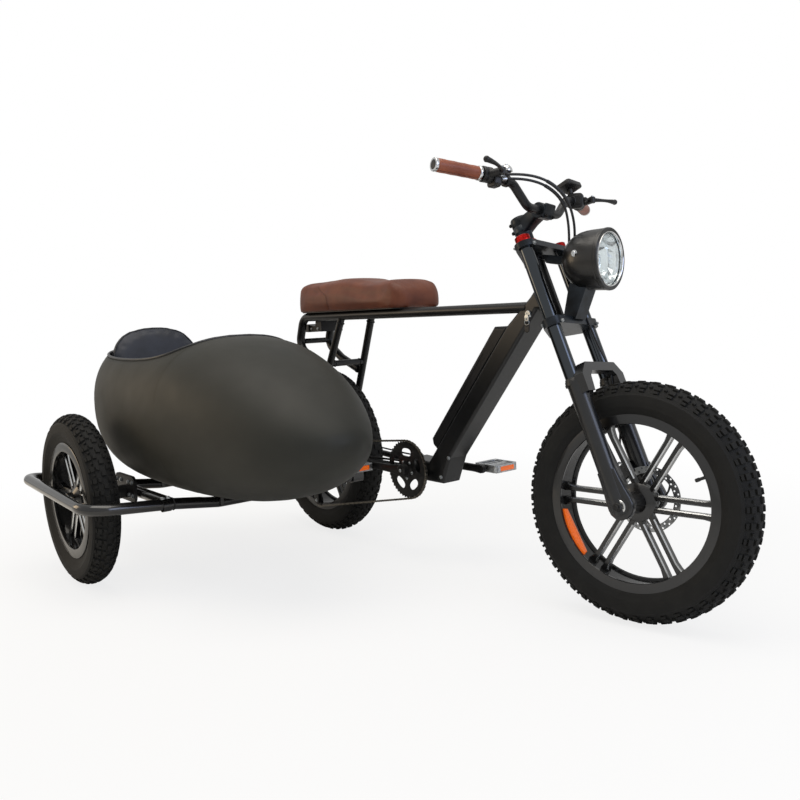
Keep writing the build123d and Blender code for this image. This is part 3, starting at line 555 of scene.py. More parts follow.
# %% Finishes for the CAD nodes
wheel_paint = gloss_enamel.copy()
wheel_paint.name = "painted_wheel_casting"
wheel_paint.node_tree.nodes["Principled BSDF"].inputs["Roughness"].default_value = 0.34
barrel_paint = wheel_paint.copy()
barrel_paint.name = "matt_painted_barrel"
matt = barrel_paint.node_tree.nodes["Principled BSDF"].inputs
matt["Roughness"].default_value = 0.8
matt["Specular IOR Level"].default_value = 0.25
crank_black = worn_black.copy()
crank_black.name = "black_forged_crank"
NODE_FINISH = {
    powder_coat: ("down_tube", "seat_rails", "struts", "chainstays", "sidecar_axle", "handlebar"),
    gloss_enamel: ("wheel_guard", "front_cross_tube", "rear_cross_tube"),
    battery_shell: ("battery_case",),
    zinc_plate: ("battery_key", "rear_axle"),
    moulded_black: ("seat_base", "controls_right", "controls_left"),
    crown_anodised: ("fork_crowns", "stem", "headlight_mount"),
    red_anodised: ("headset_ring",),
    hard_chrome: ("fork_stanchions",),
    fork_enamel: ("fork_lowers",),
    lamp_enamel: ("headlight_shell",),
    worn_black: ("bell",),
    tub_lacquer: ("sidecar_tub",),
    navy_leather: ("tub_seat", "tub_backrest"),
    saddle_leather: ("seat_cushion",),
    grip_leather: ("grips",),
    hose_rubber: ("cables",),
    aluminised: ("headlight_reflector",),
    lamp_glass: ("headlight_lens",),
    tyre_rubber: ("front_tyre", "rear_tyre", "sidecar_tyre"),
    chain_steel: ("chain", "rear_sprocket"),
    disc_steel: ("front_disc", "rear_disc"),
    orange_prism_painted_glow: ("wheel_reflector",),
    wheel_paint: ("front_rim", "rear_rim", "sidecar_rim"),
    crank_black: ("crankset",),
    cast_aluminium: ("pedal_right", "pedal_left"),
}
EDGE_RADIUS = 0.0007
SHARP_EDGE = math.radians(40)
BEVELLED = ("down_tube", "battery_case", "struts", "seat_base", "stem", "headlight_mount", "fork_crowns",
            "fork_lowers", "front_cross_tube", "rear_cross_tube", "sidecar_axle", "pedal_right",
            "pedal_left", "controls_right", "controls_left")
for material, names in NODE_FINISH.items():
    for name in names:
        mesh = nodes[name].data
        mesh.materials.clear()
        mesh.materials.append(material)
for name in BEVELLED:
    edge_round = nodes[name].modifiers.new("edges", "BEVEL")
    edge_round.width = EDGE_RADIUS
    edge_round.segments = 1
    edge_round.limit_method = "ANGLE"
    edge_round.angle_limit = SHARP_EDGE
print("finished nodes", sum(len(names) for names in NODE_FINISH.values()))

# %% [markdown]
# A fat tyre is a carcass with rubber lugs moulded on its crown and shoulders. The carcass is a
# turned profile, with the low ridge that a mould leaves on the sidewall. Each lug is a small
# tapered block laid on the round section, and the rows are staggered by half a pitch so that they
# read as a chain of knobs along the outline.

# %% Tyres
# Each row: across the section in degrees, half length, half width, phase, skew
LUG_ROWS = [(0, 7.6, 6.6, 0.0, 0.0), (19, 6.0, 4.6, 0.5, 0.3), (-19, 6.0, 4.6, 0.5, -0.3),
            (39, 7.8, 6.2, 0.5, 0.0), (-39, 7.8, 6.2, 0.5, 0.0), (36, 3.2, 3.4, 0.0, 0.0),
            (-36, 3.2, 3.4, 0.0, 0.0), (54, 6.4, 3.6, 0.5, 0.0), (-54, 6.4, 3.6, 0.5, 0.0)]


def fat_tyre(name, node, place, body, outer, half, bead_r, bead_half, count):
    """A carcass and its lugs. `half` is half the section's width, and `bead` is where it meets the rim."""
    centre = outer - half
    floor = half - 5
    ribs = {72: 1.0, 70: 1.2, 101: 0.8, 103: 0.8}
    side = [(a, half - 1.2 + ribs.get(a, 0))
            for a in (124, 118, 112, 106, 103, 101, 96, 90, 84, 78, 72, 70, 66, 61)]
    crown = [(a, floor) for a in (58, 48, 38, 29, 20, 10)]
    arc = side + crown + [(0, floor)] + [(-a, reach) for a, reach in (side + crown)[::-1]]
    section = [(bead_r, -bead_half), (bead_r, bead_half)]
    section += [(centre + reach * math.cos(math.radians(a)), reach * math.sin(math.radians(a)))
                for a, reach in arc]
    shapes = [turned(section, 144)]
    for across, length, width, phase, skew in LUG_ROWS:
        for k in range(count):
            turn = 2 * math.pi * (k + phase) / count
            rings = []
            for reach, shrink in ((floor - 1.0, 1.1), (half - 1.3, 0.97), (half - 0.1, 0.84)):
                ring = []
                for u, v in ((-1, -1), (1, -1), (1, 1), (-1, 1)):
                    a = math.radians(across) + v * width * shrink / half
                    r = centre + reach * math.cos(a)
                    t = turn + (u * length * shrink + v * width * skew) / outer
                    ring.append((r * math.cos(t), reach * math.sin(a), r * math.sin(t)))
                rings.append(ring)
            shapes.append(skin(rings, (False, True)))
    tyre = put(name, joined(*shapes), place, body, "tyre_rubber", tyre_rubber, sharp=28)
    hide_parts(node)
    return tyre


fat_tyre("front_tread", "front_tyre", *ON_FRONT, 285, 50, 203, 34, 48)
fat_tyre("rear_tread", "rear_tyre", *ON_REAR, 285, 50, 203, 34, 48)
fat_tyre("sidecar_tread", "sidecar_tyre", *ON_SIDE, 250, 42, 160, 27, 44)

# %% [markdown]
# The mag wheels are one casting: a barrel, six pairs of flat bars and a hub. They are painted, and
# then the bars' long edges are machined bright. Each bar is drawn as an eight-sided section run
# from hub to barrel, opening out a little where it meets the barrel, and the chamfer faces take
# the bright finish.

# %% Mag wheels
SPOKE_PITCH = 29
SPOKE_WIDTH = 13
SPOKE_CUT = 2.6


def mag_wheel(name, node, place, body, seat, width, hub_r, hub_profile, thick):
    """A cast wheel: `seat` is the tyre seat's radius, and `thick` is the bars' size along the axle."""
    half = width / 2
    inner = seat - 18
    barrel = turned([(inner + 1, -half), (seat + 7, -half), (seat + 9, 1 - half), (seat + 9, 3 - half),
                     (seat + 1, 6 - half), (seat, 8 - half), (seat, half - 8), (seat + 1, half - 6),
                     (seat + 9, half - 3), (seat + 9, half - 1), (seat + 7, half), (inner + 1, half),
                     (inner, half - 1.5), (inner + 1, half - 8), (inner + 6, half - 11),
                     (inner + 6, 11 - half), (inner + 1, 8 - half), (inner, 1.5 - half)], 96)
    shapes = [barrel]
    pitch, bar, cut = SPOKE_PITCH / 2, SPOKE_WIDTH / 2, SPOKE_CUT
    for k in range(6):
        turn = Matrix.Rotation(-math.radians(60 * k), 4, "Y")
        for side in (-1, 1):
            rings = []
            for r, open_out, grow in ((hub_r * 0.6, 0, 0), (hub_r + 6, 0, 0), (inner - 26, 0, 0),
                                      (inner - 10, 1.6, 1.2), (inner - 2, 3.0, 2.6), (inner + 5, 4.0, 4.5)):
                mid = side * (pitch + open_out)
                a, b = bar + grow, thick / 2
                ring = [(mid - a, -b + cut), (mid - a + cut, -b), (mid + a - cut, -b), (mid + a, -b + cut),
                        (mid + a, b - cut), (mid + a - cut, b), (mid - a + cut, b), (mid - a, b - cut)]
                rings.append([(r, y, z) for z, y in ring])
            shapes.append(moved(skin(rings), turn))
    shapes.append(turned(hub_profile, 64))

    def bright(polygon):
        """The bars' chamfers are turned bright, and the barrel's inside is left matt."""
        local = place.inverted().to_3x3() @ polygon.normal
        local.normalize()
        middle = place.inverted() @ polygon.center
        reach = math.hypot(middle.x, middle.z)
        if inner - 2 < reach < inner + 7 and local.x * middle.x + local.z * middle.z < -0.5 * reach:
            return 2
        return int(hub_r + 2 < reach < inner - 1 and 0.45 < abs(local.y) < 0.9
                   and abs(middle.y) < thick / 2 + 0.1)

    wheel = put(name, joined(*shapes), place, body, "rim_paint",
                [wheel_paint, machined_bright, barrel_paint], sharp=30, paint=bright)
    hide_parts(node)
    return wheel


HUB = [(7, -55), (18, -55), (20, -53), (20.5, -30), (26, -16), (44, -11), (46, -9), (46, 9), (44, 11),
       (26, 16), (20.5, 30), (20, 53), (18, 55), (7, 55)]
mag_wheel("front_casting", "front_rim", *ON_FRONT, 203, 80, 46, HUB, 20)
SIDE_HUB = [(11, -38), (20, -38), (22, -36), (23, -20), (38, -10), (40, -8), (40, 8), (38, 10), (23, 20),
            (22, 36), (20, 38), (11, 38)]
mag_wheel("sidecar_casting", "sidecar_rim", *ON_SIDE, 160, 66, 40, SIDE_HUB, 18)
MOTOR = [(7, -49.5), (20, -49.5), (22, -48), (24, -46), (60, -43), (84, -41), (90, -38), (92, -34),
         (92, 34), (90, 38), (84, 41), (60, 43), (24, 47), (24, 57), (22, 59), (7, 59)]
mag_wheel("rear_casting", "rear_rim", *ON_REAR, 203, 80, 92, MOTOR, 20)

# %% [markdown]
# The tub is one continuous moulding, so its surface is drawn as half rings from the keel up. Where
# the cockpit is open a ring ends at the rim, and where the cowl closes it the ring runs on to the
# top. Near the ends of the opening the rings come close together, so the edge runs round in a
# smooth line. A solidify modifier gives it the wall, and a rolled trim covers the cut edge.

# %% Tub sections
TUB_Y = -478
# Each row: x, half width, lowest, highest, squareness of the section
TUB = [(-503, 4, 455, 478, 2.0), (-499, 36, 418, 508, 2.05), (-484, 88, 374, 578, 2.1),
       (-455, 133, 341, 638, 2.15), (-400, 181, 307, 685, 2.2), (-320, 219, 277, 713, 2.25),
       (-200, 255, 257, 723, 2.35), (-60, 278, 249, 719, 2.4), (100, 284, 247, 714, 2.45),
       (260, 277, 247, 708, 2.45), (400, 257, 251, 691, 2.4), (520, 231, 263, 653, 2.3),
       (620, 197, 285, 603, 2.25), (700, 154, 319, 547, 2.2), (760, 101, 363, 499, 2.15),
       (793, 48, 406, 464, 2.1), (802, 5, 432, 440, 2.0)]
# Each row: x, height of the cockpit's rim
RIM = [(-600, 676), (-430, 668), (-250, 656), (-50, 648), (140, 650), (230, 662), (275, 682), (292, 700),
       (300, 726)]


def smooth_table(table, x):
    """A smooth value between the rows of a table whose first column is x."""
    xs = [row[0] for row in table]
    i = max(0, min(len(xs) - 2, sum(1 for v in xs if v <= x) - 1))
    t = (x - xs[i]) / (xs[i + 1] - xs[i])
    result = []
    for c in range(1, len(table[0])):
        p = [table[max(0, min(len(xs) - 1, i + k))][c] for k in (-1, 0, 1, 2)]
        q = [xs[max(0, min(len(xs) - 1, i + k))] for k in (-1, 0, 1, 2)]
        m0 = (p[2] - p[0]) / max(q[2] - q[0], 1e-6) * (xs[i + 1] - xs[i])
        m1 = (p[3] - p[1]) / max(q[3] - q[1], 1e-6) * (xs[i + 1] - xs[i])
        t2, t3 = t * t, t * t * t
        result.append(p[1] * (2 * t3 - 3 * t2 + 1) + m0 * (t3 - 2 * t2 + t) + p[2] * (3 * t2 - 2 * t3)
                      + m1 * (t3 - t2))
    return result


def tub_ring(x, count, grow=0.0):
    """One side's points from keel to rim or top, and whether the ring is open there."""
    half, low, high, square = smooth_table(TUB, x)
    rim = smooth_table(RIM, x)[0]
    middle, reach = (low + high) / 2, (high - low) / 2
    rise = (rim - middle) / reach
    is_open = 0 < rise < 0.9995
    last = math.asin(min(1.0, max(rise, 0) ** (square / 2))) if is_open else math.pi / 2
    side = []
    for k in range(count + 1):
        a = -math.pi / 2 + (last + math.pi / 2) * k / count
        c, s = max(math.cos(a), 0), math.sin(a)
        side.append(((half + grow) * c ** (2 / square),
                     middle + (reach + grow) * math.copysign(abs(s) ** (2 / square), s)))
    return side, is_open


# %% [markdown]
# The rings are set close together at the two ends, where the hull closes, and at the ends of the
# cockpit. Each ring's left half and right half meet at the keel, and at the top where it is closed.

# %% Tub moulding
stations = [-503, -502, -500, -497, -492, -484, -474, -462, -450, -438, -428, -422, -418, -415, -412, -409,
            -405, -398, -388, -374]
stations += [-355 + 20 * k for k in range(29)]
stations += [218, 230, 240, 249, 257, 264, 270, 275, 280, 284, 287, 289, 290.5, 291.5, 292.5, 294, 297,
             302, 310, 322]
stations += [340 + 20 * k for k in range(18)]
stations += [697, 712, 726, 739, 751, 762, 772, 781, 788, 794, 798, 800.5, 802]
COUNT = 26
TUB_WALL = 0.005
points, faces, edge_right, edge_left = [], [], [], []
open_rings = 0
for x in stations:
    side, is_open = tub_ring(x, COUNT)
    open_rings += is_open
    points += [(x, TUB_Y + y, z) for y, z in side]
    points += [(x, TUB_Y - y, z) for y, z in side]
    if is_open:
        edge_left.append((x, TUB_Y + side[-1][0], side[-1][1]))
        edge_right.append((x, TUB_Y - side[-1][0], side[-1][1]))
row = 2 * (COUNT + 1)
for i in range(len(stations) - 1):
    for half_start in (0, COUNT + 1):
        for j in range(COUNT):
            a = i * row + half_start + j
            faces.append((a, a + 1, a + row + 1, a + row))
for i in (0, len(stations) - 1):
    left = [i * row + j for j in range(COUNT + 1)]
    right = [i * row + COUNT + 1 + j for j in range(COUNT, -1, -1)]
    faces.append(tuple(left + right[1:-1]))
print("tub rings", len(stations), "open", open_rings, "from", edge_left[0][0], "to", edge_left[-1][0])
tub = put("tub_moulding", (points, faces), *ON_BIKE, "tub_paint", [tub_lacquer, tub_lining], sharp=50)
wall = tub.modifiers.new("wall", "SOLIDIFY")
wall.thickness = TUB_WALL
wall.offset = -1
wall.material_offset = 1
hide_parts("sidecar_tub")
rim_loop = edge_left + edge_right[::-1]
rolled("tub_rim_trim", [BIKE @ Vector(xyz) for xyz in rim_loop], 4.2, "frame", dark_piping,
       closed=True, facets=3)

# %% [markdown]
# Cushions are foam in sewn leather. Each starts as a closed form a little smaller than its place,
# is remeshed to an even grid and swelled by a short cloth simulation with a limit on how far a
# point may move, and then gets its seams as separate sewn lines.

# %% Padding helper
SWELL_FRAMES = 16


def swell(thing, pressure, limit_mm, voxel_mm, hold=None):
    """Remeshes a closed form and fills it like a pad. Points that `hold` names stay where they are."""
    mesh = thing.data
    thing.modifiers.clear()
    remesh = thing.modifiers.new("even", "REMESH")
    remesh.mode = "VOXEL"
    remesh.voxel_size = voxel_mm / 1000
    graph = bpy.context.evaluated_depsgraph_get()
    even = bpy.data.meshes.new_from_object(thing.evaluated_get(graph))
    thing.modifiers.clear()
    materials = list(mesh.materials)
    thing.data = even
    even.materials.clear()
    for entry in materials:
        even.materials.append(entry)
    start = [v.co.copy() for v in even.vertices]
    if hold:
        group = thing.vertex_groups.new(name="held")
        group.add([v.index for v in even.vertices if hold(v.co)], 1.0, "REPLACE")
    cloth = thing.modifiers.new("cloth", "CLOTH")
    cloth.settings.use_pressure = True
    cloth.settings.uniform_pressure_force = pressure
    cloth.settings.effector_weights.gravity = 0
    cloth.settings.quality = 5
    if hold:
        cloth.settings.vertex_group_mass = "held"
    for moment in range(1, SWELL_FRAMES + 1):
        bpy.context.scene.frame_set(moment)
    graph = bpy.context.evaluated_depsgraph_get()
    filled = thing.evaluated_get(graph).to_mesh()
    swollen = [v.co.copy() for v in filled.vertices]
    thing.modifiers.clear()
    bpy.context.scene.frame_set(1)
    for vertex, old, new in zip(even.vertices, start, swollen):
        step = new - old
        if step.length > limit_mm / 1000:
            step = step.normalized() * limit_mm / 1000
        vertex.co = old + step
    for polygon in even.polygons:
        polygon.use_smooth = True
    settle = thing.modifiers.new("settle", "SMOOTH")
    settle.factor = 0.5
    settle.iterations = 6
    return thing

# %% [markdown]
# Thread pulls leather in, so each seam is a line laid on the finished pad. Rays find the surface, the
# points near the line are drawn in, and short stitches follow it.

# %% Sewing helpers
from mathutils.bvhtree import BVHTree


def lay_on(thing, points, centre):
    """Drops points onto a piece's surface, each along the line to the centre that it names."""
    graph = bpy.context.evaluated_depsgraph_get()
    tree = BVHTree.FromObject(thing, graph)
    result = []
    for point, middle in zip(points, centre):
        spot, _, _, _ = tree.ray_cast(point, (middle - point).normalized())
        result.append(spot if spot else point)
    return result


def draw_in(thing, line, depth_mm, reach_mm):
    """Pulls the surface in along a sewn line."""
    for vertex in thing.data.vertices:
        near = min(line, key=lambda p: (p - vertex.co).length_squared)
        gap = (near - vertex.co).length * 1000
        if gap < reach_mm:
            share = 0.5 + 0.5 * math.cos(math.pi * gap / reach_mm)
            vertex.co -= vertex.normal * depth_mm / 1000 * share


def stitches(name, line, long_mm, gap_mm, radius_mm, body, slot, material):
    """Short thread stitches that lie along points given in metres."""
    shapes = []
    walked, start = 0.0, None
    for a, b in zip(line, line[1:]):
        steps = max(1, int((b - a).length / 0.0005))
        for k in range(steps):
            spot = a + (b - a) * (k / steps)
            phase = walked % ((long_mm + gap_mm) / 1000)
            walked += (b - a).length / steps
            if phase < long_mm / 1000:
                start = start or spot
                last = spot
            elif start:
                shapes.append(pipe([start * 1000, (start + last) * 500, last * 1000],
                                   lambda t: radius_mm * (0.6 + 0.4 * math.sin(math.pi * t)), 6))
                start = None
    return put(name, joined(*shapes), MM, body, slot, material, sharp=80)


# %% [markdown]
# The saddle is one long foam pad in brown leather. Its side view has a high rear hump, a dip for
# the rider and a lower nose, and its plan has round corners. The form is skinned from rings a few
# millimetres too small, swelled, and then drawn in along the seams, as thread does to leather.

# %% Saddle
PAN_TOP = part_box("seat_cushion")[0][2] * 1000 - ground.z * 1000
# Each row: x, height of the top above the pan
SADDLE_TOP = [(-40, 20), (-27, 54), (-22, 70), (-15, 81), (-5, 88), (20, 91), (90, 92), (160, 94),
              (230, 96), (290, 92), (340, 83), (385, 78), (430, 77), (475, 79), (500, 78), (516, 73),
              (530, 61), (540, 45), (544, 32), (560, 10)]
rings = []
saddle_x = [-26, -24, -20, -14, -6, 4, 16, 30] + [45 + 15 * k for k in range(30)]
saddle_x += [494, 506, 516, 525, 532, 538, 542, 544]
for x in saddle_x:
    inset = max(0.0, 56 - (x + 28), 56 - (546 - x))
    half = 94 - 56 + math.sqrt(max(56 ** 2 - inset ** 2, 0))
    top = smooth_table(SADDLE_TOP, x)[0] - 3
    corner = min(24, top * 0.45, half * 0.7)
    side = [(half - 4, -5), (half - 1, 2), (half, top * 0.3), (half - 1, top * 0.55),
            (half - 2, top - corner)]
    for a in (20, 40, 60, 80):
        side.append((half - 2 - corner + corner * math.cos(math.radians(a)),
                     top - corner + corner * math.sin(math.radians(a))))
    inner = half - 2 - corner
    side += [(inner * s, top + 2.5 * (1 - s * s)) for s in (0.85, 0.6, 0.3)]
    ring = [(x, -y, PAN_TOP + z) for y, z in side] + [(x, 0, PAN_TOP + top + 2.5)]
    ring += [(x, y, PAN_TOP + z) for y, z in side[::-1]]
    rings.append(ring)
saddle = put("saddle_pad", skin(rings), *ON_BIKE, "seat_leather", saddle_leather, sharp=80)
held_below = (BIKE @ Vector((0, 0, PAN_TOP + 9))).z
swell(saddle, 3.0, 4.0, 6.0, hold=lambda co: co.z < held_below)
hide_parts("seat_cushion")


def saddle_line(points):
    """A sewn line given as (x, y, z above the pan), dropped onto the pad."""
    spots = [BIKE @ Vector((x, y * 1.4, PAN_TOP + z + (40 if abs(y) < 60 else 0))) for x, y, z in points]
    middles = [BIKE @ Vector((x, y * 0.35, PAN_TOP + min(z, 45))) for x, y, z in points]
    return lay_on(saddle, spots, middles)


def bowed(points, count=14):
    """A finer line through points, by repeated corner cutting."""
    for _ in range(3):
        finer = [points[0]]
        for a, b in zip(points, points[1:]):
            finer.append(tuple(p * 0.75 + q * 0.25 for p, q in zip(a, b)))
            finer.append(tuple(p * 0.25 + q * 0.75 for p, q in zip(a, b)))
        points = finer + [points[-1]]
    return points


for word, side in (("right", -1), ("left", 1)):
    panel = saddle_line(bowed([(182, side * 96, 3), (180, side * 96, 30), (168, side * 96, 55),
                               (140, side * 96, 74), (122, side * 88, 86), (112, side * 70, 95)]))
    draw_in(saddle, panel, 2.2, 9)
    stitches("saddle_stitches_" + word, panel, 4.5, 2.0, 0.7, "frame", "seat_leather", seam_thread)
    edge = saddle_line([(x, side * 92, 68) for x in range(0, 520, 12)])
    draw_in(saddle, edge, 1.2, 10)
cover = saddle.modifiers.new("fine", "SUBSURF")
cover.levels = cover.render_levels = 1
print("saddle points", len(saddle.data.vertices))

# %% [markdown]
# The tub has a squab and a tall back pad in navy leathercloth. The back pad is a flat-backed
# panel with a round head, edged with piping, and the squab narrows below to follow the hull. Both
# are swelled in the same way as the saddle.

# %% Back pad
BACK_FOOT = Vector((-240, TUB_Y, 430))
lean_up = Vector((-0.2402, 0, 0.9707))
lean_out = Vector((0.9707, 0, 0.2402))


def head_outline(scale, steps=56):
    """The back pad's outline as (across, up), round at the head and softly cornered below."""
    points = []
    for k in range(steps):
        a = 2 * math.pi * k / steps
        c, s = math.cos(a), math.sin(a)
        power = 2 / 2.7 if s > 0 else 2 / 5
        points.append((161 * scale * math.copysign(abs(c) ** power, c),
                       165 + 159 * scale * math.copysign(abs(s) ** power, s)))
    return points


def back_ring(depth, scale):
    """The back pad's outline at one depth, in the bicycle's millimetres."""
    base = BACK_FOOT + lean_out * depth
    return [tuple(base + Vector((0, u, 0)) + lean_up * v) for u, v in head_outline(scale)]


rings = [back_ring(d, s) for d, s in ((-47, 0.9), (-46, 0.95), (-42, 0.975), (-30, 0.98), (-16, 0.98),
                                      (-8, 0.965), (-3, 0.92), (0, 0.82), (2, 0.6), (3, 0.3))]
backrest = put("tub_back_pad", skin(rings), *ON_BIKE, "tub_leather", navy_leather, sharp=80)
swell(backrest, 3.0, 5.0, 6.0)
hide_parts("tub_backrest")
around = [BIKE @ Vector(p) for p in back_ring(-9, 1.3)]
piping = lay_on(backrest, around, [BIKE @ (BACK_FOOT + lean_out * -14 + lean_up * 165)] * len(around))
draw_in(backrest, piping, 1.5, 8)
rolled("tub_back_piping", piping, 3.2, "frame", dark_piping, closed=True)

# %% Squab
SQUAB_X, SQUAB_HALF_LONG, SQUAB_HALF_WIDE = -60, 188, 226
rings = []
for z, scale in ((292, 0.6), (298, 0.7), (314, 0.84), (336, 0.94), (362, 0.985), (392, 0.985), (405, 0.96),
                 (412, 0.91), (416, 0.8), (418, 0.55), (419, 0.25)):
    ring = []
    for k in range(56):
        a = 2 * math.pi * k / 56
        c, s = math.cos(a), math.sin(a)
        ring.append((SQUAB_X + SQUAB_HALF_LONG * scale * math.copysign(abs(c) ** 0.42, c),
                     TUB_Y + SQUAB_HALF_WIDE * scale * math.copysign(abs(s) ** 0.42, s), z))
    rings.append(ring)
squab = put("tub_squab", skin(rings), *ON_BIKE, "tub_leather", navy_leather, sharp=80)
low_edge = (BIKE @ Vector((0, 0, 330))).z
swell(squab, 3.0, 5.0, 7.0, hold=lambda co: co.z < low_edge)
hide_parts("tub_seat")
for x in (-150, -60, 30):
    spots = [BIKE @ Vector((x, TUB_Y + 8 * k, 520)) for k in range(-25, 26)]
    channel = lay_on(squab, spots, [spot - Vector((0, 0, 0.2)) for spot in spots])
    draw_in(squab, channel, 4.0, 16)
around = [BIKE @ Vector((SQUAB_X + (x - SQUAB_X) * 1.3, TUB_Y + (y - TUB_Y) * 1.3, 404))
          for x, y, _ in rings[6]]
piping = lay_on(squab, around, [BIKE @ Vector((SQUAB_X, TUB_Y, 398))] * len(around))
rolled("tub_squab_piping", piping, 3.0, "frame", dark_piping, closed=True)
for pad in (backrest, squab):
    cover = pad.modifiers.new("fine", "SUBSURF")
    cover.levels = cover.render_levels = 1
print("tub pads", len(backrest.data.vertices), len(squab.data.vertices))

# %% [markdown]
# Bars, lamps and bolts are turned parts laid along some direction, so one more place is useful:
# `facing` puts the Y of a turned part along any direction at any point.

# %% Places and small hardware
def facing(start, direction, across=None):
    """A place at a point, with Y along a direction and X as near as can be to another."""
    y = Vector(direction).normalized()
    x = Vector(across or y.orthogonal())
    x = (x - y * x.dot(y)).normalized()
    return Matrix.Translation(start) @ Matrix((x, y, x.cross(y))).transposed().to_4x4()


def hose_line(points):
    """A bowed line through points, as a hose hangs."""
    return [Vector(p) for p in bowed([tuple(p) for p in points])]


def lathed(profile, steps, start, way, across=None):
    """A turned part whose Y runs along a direction from a point."""
    return moved(turned(profile, steps), facing(start, way, across))


def rounded(width, height, radius, steps=5):
    """A rectangle's outline with round corners."""
    points = []
    for cx, cy, first in ((1, 1, 0), (-1, 1, 90), (-1, -1, 180), (1, -1, 270)):
        for k in range(steps + 1):
            a = math.radians(first + 90 * k / steps)
            points.append((cx * (width / 2 - radius) + radius * math.cos(a),
                           cy * (height / 2 - radius) + radius * math.sin(a)))
    return points


def bolt(radius, height, hexagonal=True):
    """A bolt head with its washer, standing along Y from zero."""
    washer = turned([(0, -0.5), (radius * 1.45, -0.5), (radius * 1.45, 1.0), (0, 1.0)], 20)
    if hexagonal:
        head = turned([(0, 1), (radius * 1.1, 1), (radius * 1.1, height - 0.8), (radius * 0.95, height),
                       (0, height)], 6)
    else:
        head = turned([(0, 1), (radius, 1), (radius, height - 1), (radius - 0.8, height),
                       (radius * 0.55, height), (radius * 0.5, height - radius * 0.6),
                       (0, height - radius * 0.6)], 20)
    return joined(washer, head)


def bolts(name, spots, radius, height, place, body, slot, material, hexagonal=True):
    """Bolt heads at (point, direction) pairs, as one piece."""
    shapes = [moved(bolt(radius, height, hexagonal), facing(point, way)) for point, way in spots]
    return put(name, joined(*shapes), place, body, slot, material, sharp=30)


def weld(name, rings):
    """Welded joints: rows of overlapping beads round (centre, axis, radius, thickness)."""
    shapes = []
    for centre, axis, radius, thick in rings:
        spot = facing(centre, axis)
        steps = max(36, int(radius * 4))
        line = []
        for k in range(steps):
            a = 2 * math.pi * k / steps
            line.append(spot @ Vector((radius * math.cos(a), 0, radius * math.sin(a))))
        rows = []
        for k, point in enumerate(line):
            out = (point - Vector(centre)).normalized()
            way = Vector(axis).normalized()
            size = thick * (0.8 + 0.25 * (k % 2))
            rows.append([point + (out * math.cos(2 * math.pi * j / 6)
                                  + way * math.sin(2 * math.pi * j / 6)) * size for j in range(6)])
        shapes.append(skin(rows, round_trip=True))
    return put(name, joined(*shapes), *ON_BIKE, "frame_paint", powder_coat, sharp=60)


# %% [markdown]
# The grips are leather tubes sewn along their underside, between a polished end ring with a black
# plug and a polished inner ring. Each has a brake lever perch inboard of it.

# %% Grips
HEAD = Vector((976, 0, 893.287))
BAR_Z = 989.987
BAR_BORE = 11.3
BAR_TIP = (-38, 347, 62)
BAR_BEND = (10, 222, 56)


def on_bar(ahead, y, rise):
    """A point measured from the middle of the bar's clamp."""
    return Vector((HEAD.x + ahead, y, BAR_Z + rise))


